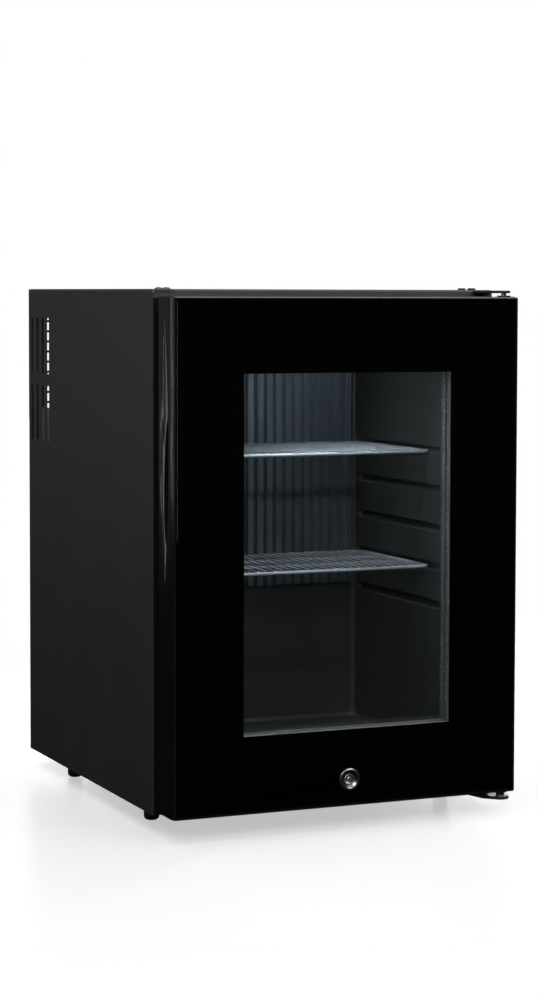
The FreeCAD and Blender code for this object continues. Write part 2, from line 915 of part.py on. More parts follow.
def sink_base():
    half_wide = sink_base_width / 2
    half_high = sink_base_height / 2
    front = foam_rear + module_thickness
    block = box(-half_wide, half_wide, front, front + sink_base_thickness,
                cold_block_rise - half_high, cold_block_rise + half_high)
    tools = []
    middle = front + sink_base_thickness / 2
    for x in pipe_places():
        tools.append(upright(x, middle, cold_block_rise - half_high - overrun,
                             cold_block_rise + half_high + overrun, pipe_radius + pipe_hole_play))
    tools += sink_screw_tools()
    return without(block, tools)


def sink_screw_places():
    x = sink_base_width / 2 - small_screw_head_radius - overrun
    z = sink_base_height / 2 - small_screw_head_radius - overrun
    return [(side * x, cold_block_rise + end * z) for side in (-1, 1) for end in (-1, 1)]


def sink_screw_tools():
    front = foam_rear - overrun
    back = foam_rear + module_thickness + sink_base_thickness + overrun
    return [lengthwise(x, z, front, back, small_screw_radius + screw_play) for x, z in sink_screw_places()]


def sink_screws():
    seat = foam_rear + module_thickness + sink_base_thickness
    length = module_thickness + sink_base_thickness - bulkhead_sheet
    return [screw(V(x, seat, z), V(0, -1, 0), small_screw_radius, length,
                  small_screw_head_radius, small_screw_head_height) for x, z in sink_screw_places()]


def heat_sink_fins():
    middle = foam_rear + module_thickness + sink_base_thickness / 2 + pipe_setback
    half = fin_width / 2
    holes = []
    top = fin_first + fin_count * fin_pitch + overrun
    for x in pipe_places():
        holes.append(upright(x, middle, fin_first - overrun, top, pipe_radius + pipe_hole_play))
    fins = []
    for index in range(fin_count):
        z = fin_first + index * fin_pitch
        fin = box(-half, half, middle - fin_depth / 2, middle + fin_depth / 2, z, z + fin_thickness)
        collars = [upright(x, middle, z, z + fin_pitch, pipe_radius + fin_thickness) for x in pipe_places()]
        fins.append(joined([fin] + collars))
    return joined(fins).cut(holes)


# Power supply, inlet and lead
def control_bounds():
    front = bulkhead_rear + control_front_gap
    return (control_x, control_x + control_width, front, cabinet_depth,
            control_bottom, control_bottom + control_height)


def control_box():
    x0, x1, y0, y1, z0, z1 = control_bounds()
    case = box(x0, x1, y0, y1, z0, z1)
    hollow = box(x0 + control_wall, x1 - control_wall, y0 + control_wall, y1 + overrun,
                 z0 + control_wall, z1 - control_wall)
    return case.cut([hollow])


def circuit_board():
    x0, x1, y0, y1, z0, z1 = control_bounds()
    front = y0 + control_wall + board_standoff
    low, high = z0 + board_margin, z1 - board_margin
    left, right = x0 + board_margin, x1 - board_margin
    board = box(left, right, front, front + board_thickness, low, high)
    wide, tall = right - left, high - low
    back = front + board_thickness
    room = y1 - back - inlet_depth
    blocks = []
    for x_start, x_end, reach, z_start, z_end in board_block_shares:
        blocks.append(box(left + wide * x_start, left + wide * x_end, back, back + room * reach,
                          low + tall * z_start, low + tall * z_end))
    cans = []
    for x_middle, z_middle, reach, radius in board_can_shares:
        cans.append(lengthwise(left + wide * x_middle, low + tall * z_middle, back, back + room * reach,
                               wide * radius))
    posts = [lengthwise(x, z, y0 + control_wall, front, board_margin / 2)
             for x in (left + board_margin, right - board_margin)
             for z in (low + board_margin, high - board_margin)]
    return joined([board] + blocks + cans + posts)


def power_inlet():
    x, z = inlet_place()
    back = cabinet_depth + panel_sheet
    half_w, half_h = inlet_width / 2, inlet_height / 2
    body = box(x - half_w, x + half_w, back - inlet_depth, back, z - half_h, z + half_h)
    margin = inlet_face_margin
    face = box(x - half_w - margin, x + half_w + margin, back, back + inlet_face,
               z - half_h - margin, z + half_h + margin)
    hollow = box(x - half_w + inlet_wall, x + half_w - inlet_wall, back - inlet_depth + inlet_wall,
                 back + inlet_face + overrun, z - half_h + inlet_wall, z + half_h - inlet_wall)
    floor_y = back - inlet_depth + inlet_wall
    pins = []
    for offset, lift in ((-inlet_pin_spacing, -inlet_pin_lift), (0, inlet_pin_lift),
                         (inlet_pin_spacing, -inlet_pin_lift)):
        pins.append(box(x + offset - inlet_pin_width / 2, x + offset + inlet_pin_width / 2,
                        floor_y, floor_y + inlet_pin_length,
                        z + lift - inlet_pin_height / 2, z + lift + inlet_pin_height / 2))
    shell = joined([body, face]).cut([hollow])
    return joined([shell] + pins)


def module_leads():
    """Two low-voltage leads from the power supply to the thermoelectric module."""
    x0, x1, y0, y1, z0, z1 = control_bounds()
    start_y = (y0 + y1) / 2
    gap_middle = (bulkhead_rear + foam_rear + module_thickness) / 2
    turn_x = (x1 - sink_base_width / 2) / 2
    leads = []
    for side in (-1, 1):
        z = cold_block_rise + side * lead_spacing / 2
        points = [V(x1, start_y, z), V(turn_x, start_y, z), V(turn_x, gap_middle, z),
                  V(-module_width / 2, gap_middle, z)]
        leads.append(tube_along(points, lead_bend, lead_radius))
    return leads


# Light and thermostat unit
def light_housing():
    half = unit_width / 2
    case = box(-half, half, unit_front, unit_rear, unit_bottom, ceiling_z)
    case = rounded(case, unit_wall, lambda e: e.BoundBox.ZMax < unit_bottom + unit_wall)
    hollow = box(-half + unit_wall, half - unit_wall, unit_front + unit_wall, unit_rear - unit_wall,
                 unit_bottom + unit_wall, ceiling_z + overrun)
    middle = (unit_front + unit_rear) / 2
    window = box(-lens_width / 2, lens_width / 2, middle - lens_depth / 2, middle + lens_depth / 2,
                 unit_bottom - overrun, unit_bottom + unit_wall + overrun)
    shaft_hole = lengthwise(control_offset, unit_middle, unit_front - overrun,
                            unit_front + unit_wall + overrun, knob_shaft_radius + pin_play)
    reach = rocker_width / 2 + rocker_play
    rise = rocker_height / 2 + rocker_swing_room
    rocker_hole = box(-control_offset - reach, -control_offset + reach, unit_front - overrun,
                      unit_front + unit_wall + overrun, unit_middle - rise, unit_middle + rise)
    return case.cut([hollow, window, shaft_hole, rocker_hole])


def light_lens():
    middle = (unit_front + unit_rear) / 2
    half_w, half_d = lens_width / 2 - fit_gap, lens_depth / 2 - fit_gap
    pane_body = box(-half_w, half_w, middle - half_d, middle + half_d,
                    unit_bottom, unit_bottom + unit_wall)
    lip = box(-half_w - lens_lip, half_w + lens_lip, middle - half_d - lens_lip, middle + half_d + lens_lip,
              unit_bottom + unit_wall, unit_bottom + unit_wall + lens_thickness)
    return joined([pane_body, lip])


def led_board():
    middle = (unit_front + unit_rear) / 2
    low = unit_bottom + unit_wall + lens_thickness
    half_w, half_d = lens_width / 2, lens_depth / 2
    bottom = low + led_standoff
    board = box(-half_w, half_w, middle - half_d, middle + half_d, bottom, bottom + led_board_thickness)
    pieces = [board]
    step = lens_width / led_count
    for index in range(led_count):
        x = -half_w + (index + 1 / 2) * step
        pieces.append(box(x - led_size / 2, x + led_size / 2, middle - led_size / 2,
                          middle + led_size / 2, bottom - led_height, bottom))
    for side in (-1, 1):
        x = side * (half_w - led_post / 2)
        pieces.append(box(x - led_post / 2, x + led_post / 2, middle - half_d, middle + half_d, low, bottom))
    return joined(pieces)


def thermostat():
    y0 = unit_front + unit_wall
    half = thermostat_size / 2
    body = box(control_offset - half, control_offset + half, y0, y0 + thermostat_size,
               unit_middle - half, unit_middle + half)
    hole = lengthwise(control_offset, unit_middle, y0 - overrun, y0 + knob_shaft_length + overrun,
                      knob_shaft_radius + pin_play)
    return body.cut([hole])


def thermostat_knob():
    y1 = unit_front - knob_gap
    y0 = y1 - knob_depth
    body = lengthwise(control_offset, unit_middle, y0, y1, knob_radius)
    rim = [e for e in body.Edges if len(e.Vertexes) == 1 and e.CenterOfMass.y < (y0 + y1) / 2]
    body = body.makeFillet(knob_rim_radius, rim)
    grips = []
    for index in range(knob_grip_count):
        angle = math.radians(index * 360 / knob_grip_count + 180 / knob_grip_count)
        grips.append(lengthwise(control_offset + knob_radius * math.sin(angle),
                                unit_middle + knob_radius * math.cos(angle),
                                y0 - overrun, y1 - knob_grip_radius, knob_grip_radius))
    pointer = box(control_offset - knob_pointer_width / 2, control_offset + knob_pointer_width / 2,
                  y0 - overrun, y0 + knob_pointer_depth, unit_middle + knob_radius / 4,
                  unit_middle + knob_radius - knob_grip_radius)
    shaft = lengthwise(control_offset, unit_middle, y1, unit_front + knob_shaft_length, knob_shaft_radius)
    return joined([body.cut(grips + [pointer]), shaft])


def rocker_pivot_y():
    return unit_front + unit_wall + rocker_depth / 4


def light_switch_rocker():
    """A rocker with two sloping faces, stored tilted to its off side."""
    x0 = -control_offset - rocker_width / 2
    y = rocker_pivot_y()
    high = rocker_height / 2
    front = y - rocker_depth / 2
    slope = high * math.tan(math.radians(rocker_tilt))
    corners = [V(x0, front - slope, unit_middle - high), V(x0, front, unit_middle),
               V(x0, front - slope, unit_middle + high),
               V(x0, y + rocker_depth / 4, unit_middle + high * rocker_back_share),
               V(x0, y + rocker_depth / 2, unit_middle),
               V(x0, y + rocker_depth / 4, unit_middle - high * rocker_back_share)]
    body = Part.Face(Part.makePolygon(corners + corners[:1])).extrude(V(rocker_width, 0, 0))
    reach = rocker_width / 2 + rocker_case_wall
    pin = crosswise(y, unit_middle, -control_offset - reach, -control_offset + reach, rocker_pin_radius)
    rocker = joined([body, pin])
    rocker.rotate(V(-control_offset, y, unit_middle), V(1, 0, 0), -rocker_tilt)
    return rocker


def switch_case():
    """The frame behind the housing's front wall that carries the rocker's pin."""
    y0 = unit_front + unit_wall
    reach = rocker_width / 2 + rocker_play
    outer = reach + rocker_case_wall + fit_gap
    high = unit_height / 2 - unit_wall
    block = box(-control_offset - outer, -control_offset + outer, y0, y0 + rocker_case_depth,
                unit_middle - high, unit_middle + high)
    hollow = box(-control_offset - reach, -control_offset + reach,
                 y0 - overrun, y0 + rocker_case_depth - rocker_case_floor,
                 unit_middle - high + rocker_case_wall / 2, unit_middle + high - rocker_case_wall / 2)
    pin_hole = crosswise(rocker_pivot_y(), unit_middle, -control_offset - outer - overrun,
                         -control_offset + outer + overrun, rocker_pin_radius + rocker_pin_play)
    return block.cut([hollow, pin_hole])


# Shelves
def wire_shelf(grooves_above_count):
    z = groove_floors()[grooves_above_count] + shelf_lift + rail_diameter / 2
    half = inner_half + groove_depth - shelf_side_play - rail_diameter / 2
    front = shelf_front + rail_diameter / 2
    rear = compartment_depth - shelf_rear_gap - rail_diameter / 2
    corner = shelf_corner
    outline = Part.Wire([
        Part.LineSegment(V(0, front, z), V(half - corner, front, z)).toShape(),
        quarter(half - corner, front + corner, z, corner, 1, -1),
        Part.LineSegment(V(half, front + corner, z), V(half, rear - corner, z)).toShape(),
        quarter(half - corner, rear - corner, z, corner, 1, 1),
        Part.LineSegment(V(half - corner, rear, z), V(-half + corner, rear, z)).toShape(),
        quarter(-half + corner, rear - corner, z, corner, -1, 1),
        Part.LineSegment(V(-half, rear - corner, z), V(-half, front + corner, z)).toShape(),
        quarter(-half + corner, front + corner, z, corner, -1, -1),
        Part.LineSegment(V(-half + corner, front, z), V(0, front, z)).toShape(),
    ])
    middle = V(0, front, z)
    section = Part.Wire([Part.makeCircle(rail_diameter / 2, middle, V(1, 0, 0))])
    # The pipe's seam runs along its underside, away from the welded wires
    seam = section.Vertexes[0].Point - middle
    section.rotate(middle, V(1, 0, 0), math.degrees(seam.getAngle(V(0, 0, -1))))
    rail = outline.makePipeShell([section], True, False)
    pieces = [rail]
    for share in cross_bar_shares:
        y = front + (rear - front) * share
        pieces.append(crosswise(y, z, -half, half, cross_bar_diameter / 2))
    top = z + rail_diameter / 2 + wire_diameter / 2 - weld_sink
    count = int((half - corner) / wire_pitch)
    for index in range(-count, count + 1):
        pieces.append(lengthwise(index * wire_pitch, top, front - wire_end, rear + wire_end,
                                 wire_diameter / 2))
    return joined(pieces)


def quarter(x, y, z, radius, side_x, side_y):
    """A quarter circle about (x, y), from the side facing side_y to the side facing side_x or back."""
    ends = (V(x + side_x * radius, y, z), V(x, y + side_y * radius, z))
    reach = radius * math.sqrt(0.5)
    middle = V(x + side_x * reach, y + side_y * reach, z)
    return Part.Arc(ends[0], middle, ends[1]).toShape()


# Door
def ellipsoid(x, y, z, rx, ry, rz):
    matrix = FreeCAD.Matrix()
    matrix.A11, matrix.A22, matrix.A33 = rx, ry, rz
    matrix.A14, matrix.A24, matrix.A34 = x, y, z
    return Part.makeSphere(1, V(0, 0, 0), V(1, 0, 0)).transformGeometry(matrix)


def grip_block():
    half = grip_block_height / 2
    return box(-half_width, -half_width + grip_block_depth, ledge_back, frame_rear,
               grip_z - half, grip_z + half)


def grip_tools():
    """A shallow dish along the door's side, and the deep recess in it that the fingers hook into."""
    scoop = ellipsoid(-half_width, frame_rear - scoop_rim - scoop_half_width, grip_z,
                      scoop_depth, scoop_half_width, scoop_half_height)
    recess = ellipsoid(-half_width, frame_rear - recess_wall - recess_half_width, grip_z,
                       recess_depth, recess_half_width, recess_half_height)
    return [scoop, recess]


def bush_block(bottom):
    """The boss in a door corner that a hinge bush is pressed into."""
    reach = bush_radius + boss_wall
    high = door_bottom + bush_length + boss_wall
    low = door_bottom
    if not bottom:
        low = door_top - bush_length - boss_wall
        high = door_top
    return box(pivot_x - reach, half_width - door_wall, ledge_back, pivot_y + reach, low, high)


def bush_tools():
    low = upright(pivot_x, pivot_y, door_bottom - overrun, door_bottom + bush_length, bush_radius)
    high = upright(pivot_x, pivot_y, door_top - bush_length, door_top + overrun, bush_radius)
    return [low, high]


def lock_pocket():
    half = lock_pocket_side
    return box(-half, half, ledge_back, frame_rear, door_bottom + door_wall,
               door_bottom + door_wall + lock_pocket_height)


def bezel_groove():
    """The fine line round the door's sides, a little behind its front face."""
    y0 = door_front + bezel_depth
    y1 = y0 + bezel_groove_width
    inset = bezel_groove_depth
    outer = box(-half_width - overrun, half_width + overrun, y0, y1,
                door_bottom - overrun, door_top + overrun)
    inner = box(-half_width + inset, half_width - inset, y0 - overrun, y1 + overrun,
                door_bottom + inset, door_top - inset)
    return outer.cut(inner)


def door_frame():
    body = box(-half_width, half_width, door_front, frame_rear, door_bottom, door_top)
    body = rounded(body, door_corner_radius,
                   lambda e: abs(e.BoundBox.YLength - (frame_rear - door_front)) < fit_gap)
    body = rounded(body, door_lip_radius, lambda e: e.BoundBox.YMax < door_front + door_lip_radius / 2)
    glass_half = half_width - glass_margin + glass_fit
    pocket = box(-glass_half, glass_half, door_front - overrun, ledge_front,
                 door_bottom + glass_margin - glass_fit, door_top - glass_margin + glass_fit)
    hollow_half = half_width - door_wall
    hollow = box(-hollow_half, hollow_half, ledge_back, frame_rear + overrun,
                 door_bottom + door_wall, door_top - door_wall)
    opening_half = pane_half + pane_fit
    opening = box(-opening_half, opening_half, door_front - overrun, frame_rear + overrun,
                  pane_bottom - pane_fit, pane_top + pane_fit)
    collar = box(-opening_half - collar_wall, opening_half + collar_wall, ledge_back, frame_rear,
                 pane_bottom - pane_fit - collar_wall, pane_top + pane_fit + collar_wall)
    shell = body.cut([pocket, hollow, grip_block()])
    grip = without(grip_block(), grip_tools())
    shell = joined([shell, collar, grip, bush_block(True), bush_block(False)])
    barrel_hole = lengthwise(0, lock_z, ledge_front - overrun, ledge_back + overrun,
                             lock_barrel_radius + lock_hole_play)
    return without(shell, [opening, barrel_hole, bezel_groove()] + bush_tools())


def door_foam():
    half = half_width - door_wall
    block = box(-half, half, ledge_back, frame_rear, door_bottom + door_wall, door_top - door_wall)
    opening_half = pane_half + pane_fit + collar_wall
    opening = box(-opening_half, opening_half, ledge_back - overrun, frame_rear + overrun,
                  pane_bottom - pane_fit - collar_wall, pane_top + pane_fit + collar_wall)
    tools = [opening, grip_block(), bush_block(True), bush_block(False), lock_pocket()]
    return without(block, tools)


def door_inner_frame():
    half = half_width - inner_frame_inset
    plate = box(-half, half, frame_rear, door_rear, door_bottom + inner_frame_inset,
                door_top - inner_frame_inset)
    collar = box(-pane_half, pane_half, inner_pane_back, frame_rear, pane_bottom, pane_top)
    opening_half = window_half + inner_frame_reveal
    opening = box(-opening_half, opening_half, inner_pane_back - overrun, door_rear + overrun,
                  window_bottom - inner_frame_reveal, window_top + inner_frame_reveal)
    slot_half = strike_width / 2 + strike_slot_play
    slot = box(-slot_half, slot_half, frame_rear - overrun, door_rear + overrun,
               strike_z - strike_sheet, strike_z - strike_sheet + strike_slot_height)
    groove = gasket_root(fit_gap)
    return without(joined([plate, collar]), [opening, slot, groove])


def gasket_root(extra):
    side = (gasket_width - gasket_root_width) / 2
    return frame_ring(gasket_half - side + extra, gasket_bottom + side - extra, gasket_top - side + extra,
                      gasket_root_width + extra * 2, door_rear - gasket_root_depth, door_rear)


def gasket_level(inset, y0, y1):
    return frame_ring(gasket_half - inset, gasket_bottom + inset, gasket_top - inset,
                      gasket_width - inset * 2, y0, y1)


def magnet_space(extra):
    inset = (gasket_width - magnet_width) / 2 - extra
    y1 = -gasket_seat_gap - (gasket_head - magnet_thickness) / 2 + extra
    return gasket_level(inset, y1 - magnet_thickness - extra * 2, y1)


def door_gasket():
    base_end = door_rear + gasket_base
    head_start = -gasket_seat_gap - gasket_head
    pieces = [gasket_level(0, door_rear, base_end),
              gasket_level((gasket_width - gasket_waist) / 2, base_end, head_start),
              gasket_level(gasket_head_inset, head_start, -gasket_seat_gap),
              gasket_root(0)]
    return joined(pieces).cut([magnet_space(0)])


def gasket_magnet():
    return magnet_space(0)


def door_glass_outer():
    half = half_width - glass_margin
    sheet_glass = box(-half, half, door_front, glass_back, door_bottom + glass_margin,
                      door_top - glass_margin)
    front_edges = [e for e in sheet_glass.Edges if e.BoundBox.YMax < door_front + pane / 2]
    sheet_glass = sheet_glass.makeChamfer(glass_chamfer, front_edges)
    hole = lengthwise(0, lock_z, door_front - overrun, glass_back + overrun,
                      lock_barrel_radius + lock_hole_play)
    return sheet_glass.cut([hole])


def glass_border_print():
    """The opaque layer fired onto the rear of the outer pane, all round the window."""
    half = half_width - glass_margin - fit_gap
    layer = box(-half, half, glass_back, ledge_front, door_bottom + glass_margin + fit_gap,
                door_top - glass_margin - fit_gap)
    window = box(-window_half, window_half, glass_back - overrun, ledge_front + overrun,
                 window_bottom, window_top)
    hole = lengthwise(0, lock_z, glass_back - overrun, ledge_front + overrun,
                      lock_barrel_radius + lock_hole_play)
    return layer.cut([window, hole])


def spacer(y0):
    return frame_ring(window_half + spacer_width, window_bottom - spacer_width,
                      window_top + spacer_width, spacer_width, y0, y0 + spacer_depth)


def inner_pane(y0):
    return box(-pane_half, pane_half, y0, y0 + pane, pane_bottom, pane_top)


def bush(bottom):
    if bottom:
        sleeve = upright(pivot_x, pivot_y, door_bottom, door_bottom + bush_length, bush_radius)
        flange = upright(pivot_x, pivot_y, door_bottom - bush_flange, door_bottom, bush_flange_radius)
    else:
        sleeve = upright(pivot_x, pivot_y, door_top - bush_length, door_top, bush_radius)
        flange = upright(pivot_x, pivot_y, door_top, door_top + bush_flange, bush_flange_radius)
    bore = upright(pivot_x, pivot_y, foot_height, cabinet_top, pin_radius + pin_play)
    return joined([sleeve, flange]).cut([bore])


# Lock
def lock_housing():
    ring = lengthwise(0, lock_z, front_face, door_front, lock_ring_radius)
    rim = [e for e in ring.Edges if len(e.Vertexes) == 1 and e.CenterOfMass.y < (front_face + door_front) / 2]
    ring = ring.makeFillet(lock_ring_round, rim)
    barrel = lengthwise(0, lock_z, door_front, door_front + lock_barrel_length, lock_barrel_radius)
    bore = lengthwise(0, lock_z, front_face - overrun, door_front + lock_barrel_length + overrun,
                      plug_radius + plug_play)
    dish = Part.makeCone(lock_dish_radius, plug_radius + plug_play, lock_dish_depth,
                         V(0, front_face, lock_z), V(0, 1, 0))
    return joined([ring, barrel]).cut([bore, dish])


def lock_nut():
    corners = []
    for index in range(6):
        angle = math.radians(60 * index)
        corners.append(V(nut_radius * math.cos(angle), ledge_back, lock_z + nut_radius * math.sin(angle)))
    nut = Part.Face(Part.makePolygon(corners + corners[:1])).extrude(V(0, nut_thickness, 0))
    bore = lengthwise(0, lock_z, ledge_back - overrun, ledge_back + nut_thickness + overrun,
                      lock_barrel_radius)
    return nut.cut([bore])


def cam_screw_hole(radius):
    return lengthwise(0, lock_z, cam_front - cam_screw_depth, cam_front + cam_thickness + overrun, radius)


def lock_plug():
    """The turning part, with the ring-shaped keyway of a tubular key and its notch."""
    start = front_face + lock_dish_depth
    body = lengthwise(0, lock_z, start, cam_front, plug_radius)
    keyway = lengthwise(0, lock_z, start - overrun, start + key_ring_depth, key_ring_outer)
    post = lengthwise(0, lock_z, start - overrun, start + key_ring_depth, key_ring_inner)
    notch = box(-key_notch_width / 2, key_notch_width / 2, start - overrun, start + key_ring_depth / 2,
                lock_z + key_ring_inner, lock_z + key_notch_reach)
    return body.cut([keyway.cut(post), notch, cam_screw_hole(cam_screw_radius + screw_play)])


def lock_cam():
    """The flat lever at the barrel's rear: level when unlocked, down behind the strike's lip when locked."""
    hub = lengthwise(0, lock_z, cam_front, cam_front + cam_thickness, plug_radius)
    arm = box(0, cam_reach, cam_front, cam_front + cam_thickness,
              lock_z - cam_width / 2, lock_z + cam_width / 2)
    return joined([hub, arm]).cut([cam_screw_hole(cam_screw_radius + screw_play)])


def cam_screw():
    seat = cam_front + cam_thickness
    length = cam_thickness + cam_screw_depth - screw_play
    return screw(V(0, seat, lock_z), V(0, -1, 0), cam_screw_radius, length,
                 cam_screw_head_radius, cam_screw_head_height)


def main():
    os.makedirs("parts", exist_ok=True)
    saved("cabinet_wrap", cabinet_wrap())
    saved("base_plate", base_plate())
    saved("back_panel", back_panel())
    saved("rear_grille", rear_grille())
    saved("small_screws", small_screws())
    saved("inner_liner", inner_liner())
    saved("insulation_foam", insulation_foam())
    saved("foam_bulkhead", bulkhead())
    saved("top_hinge_bracket", top_hinge_bracket())
    saved("top_hinge_pin", top_hinge_pin())
    saved("bottom_hinge_bracket", bottom_hinge_bracket())
    saved("bottom_hinge_pin", bottom_hinge_pin())
    saved("hinge_washer", hinge_washer())
    saved("hinge_screws", hinge_screws())
    saved("hinge_hole_plugs", hinge_hole_plugs())
    saved("hinge_slot_blank", hinge_slot_blank())
    for name, x, y in foot_places:
        saved(f"foot_{name}", foot(x, y))
    saved("foot_screws", foot_screws())
    saved("strike_plate", strike_plate())
    saved("cold_plate", cold_plate())
    saved("cold_block", cold_block())
    saved("thermoelectric_module", peltier_module())
    saved("heat_sink_base", sink_base())
    saved("heat_pipes", pipe_tools(pipe_radius))
    saved("heat_sink_fins", heat_sink_fins())
    saved("sink_screws", sink_screws())
    saved("control_box", control_box())
    saved("circuit_board", circuit_board())
    saved("power_inlet", power_inlet())
    saved("module_leads", module_leads())
    saved("light_housing", light_housing())
    saved("light_lens", light_lens())
    saved("led_board", led_board())
    saved("thermostat", thermostat())
    saved("thermostat_knob", thermostat_knob())
    saved("switch_case", switch_case())
    saved("light_switch_rocker", light_switch_rocker())
    saved("shelf_upper", wire_shelf(grooves_above_upper_shelf_count))
    saved("shelf_lower", wire_shelf(grooves_above_lower_shelf_count))
    saved("door_frame", door_frame())
    saved("door_foam", door_foam())
    saved("door_inner_frame", door_inner_frame())
    saved("door_gasket", door_gasket())
    saved("gasket_magnet", gasket_magnet())
    saved("door_glass_outer", door_glass_outer())
    saved("glass_border_print", glass_border_print())
    saved("spacer_front", spacer(ledge_front))
    saved("door_glass_middle", inner_pane(middle_pane_front))
    saved("spacer_rear", spacer(rear_spacer_front))
    saved("door_glass_inner", inner_pane(inner_pane_front))
    saved("hinge_bush_top", bush(False))
    saved("hinge_bush_bottom", bush(True))
    saved("lock_housing", lock_housing())
    saved("lock_nut", lock_nut())
    saved("lock_plug", lock_plug())
    saved("lock_cam", lock_cam())
    saved("cam_screw", cam_screw())
    print(f"door pivot x {pivot_x:.3f} y {pivot_y - middle_y:.3f}")
    print(f"lock axis z {lock_z:.3f}, knob z {unit_middle:.3f}, rocker y {rocker_pivot_y() - middle_y:.3f}")
    print(f"front face y {-middle_y:.3f} is the cabinet's front; shift {middle_y:.3f}")


main()
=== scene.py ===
# %% [markdown]
# # A minibar with a glass door
# This lesson dresses a small black fridge for a product photograph. The real one is a bent steel cabinet
# with a plastic door frame, three panes of glass and a dark plastic compartment. The measured solids come
# from the CAD model as a fixed frame. They could be shown as they are, but their edges are knife sharp,
# and a real edge always catches a thin line of light. So the pieces that are seen are built again here,
# with rounded edges, exactly where the solids are, and the hidden ones keep their solid and get a good
# finish.

# %% Load the frame
import math

import bmesh
import bpy
from mathutils import Matrix, Vector


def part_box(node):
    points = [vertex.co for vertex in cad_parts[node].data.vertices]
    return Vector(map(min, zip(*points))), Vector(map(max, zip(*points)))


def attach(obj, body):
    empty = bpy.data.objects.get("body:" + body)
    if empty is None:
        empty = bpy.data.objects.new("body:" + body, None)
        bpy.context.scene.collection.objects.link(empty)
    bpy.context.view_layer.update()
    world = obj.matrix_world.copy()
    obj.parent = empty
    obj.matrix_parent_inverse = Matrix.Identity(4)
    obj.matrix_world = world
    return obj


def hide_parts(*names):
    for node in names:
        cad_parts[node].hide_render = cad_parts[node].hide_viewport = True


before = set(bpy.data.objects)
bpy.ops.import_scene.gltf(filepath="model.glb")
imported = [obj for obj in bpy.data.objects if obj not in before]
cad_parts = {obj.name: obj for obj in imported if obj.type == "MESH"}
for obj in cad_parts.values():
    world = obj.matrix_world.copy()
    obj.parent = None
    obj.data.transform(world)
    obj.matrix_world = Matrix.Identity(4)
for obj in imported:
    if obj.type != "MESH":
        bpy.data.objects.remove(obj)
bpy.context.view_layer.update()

# %% [markdown]
# ## Millimetres, counted from the cabinet's front
# The frame is in metres, with its origin under the middle of the fridge. A maker thinks in millimetres
# from the cabinet's front face, so every piece is drawn that way, and moved into the frame when it is
# placed.

# %% Units
MM = 0.001
CABINET_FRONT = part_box("cabinet_wrap")[0][1]


def span(node):
    """A solid's box in the drawing's millimetres: x0, x1, y0, y1, z0, z1."""
    low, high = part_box(node)
    return (low[0] / MM, high[0] / MM, (low[1] - CABINET_FRONT) / MM, (high[1] - CABINET_FRONT) / MM,
            low[2] / MM, high[2] / MM)


def to_frame(x, y, z):
    return Vector((x * MM, CABINET_FRONT + y * MM, z * MM))


print("cabinet spans", [round(v, 2) for v in span("cabinet_wrap")])

# %% [markdown]
# ## Shader maths that reads like maths
# A finish mixes patterns: a noise times a depth, one mask minus another. Clicking Math nodes together is
# slow, and hard to read afterwards. Here a small class stands for a node's output, and Python's own
# operators on it add the Math nodes. Colours are kept out of it, because a Math node would turn them
# grey: they go through Mix.

# %% A socket that can be reckoned with
class Sock:
    def __init__(self, finish, link):
        self.finish, self.link = finish, link

    def maths(self, operation, *values):
        return self.finish.node("ShaderNodeMath", {"operation": operation}, values)

    def __add__(self, other):
        return self.maths("ADD", self, other)

    def __sub__(self, other):
        return self.maths("SUBTRACT", self, other)

    def __mul__(self, other):
        return self.maths("MULTIPLY", self, other)

    def __truediv__(self, other):
        return self.maths("DIVIDE", self, other)

    def __lt__(self, other):
        return self.maths("LESS_THAN", self, other)


print("operators ready:", "+ - * / <")

# %% [markdown]
# ## One method for every other node
# Each finish starts as an empty node tree. A single method adds a node of any type, puts in its settings
# first and then its values or links. A few short methods on top of it give the patterns that come back
# everywhere: noise at a size in millimetres, a mix of two colours, and a bump whose height is in
# millimetres.

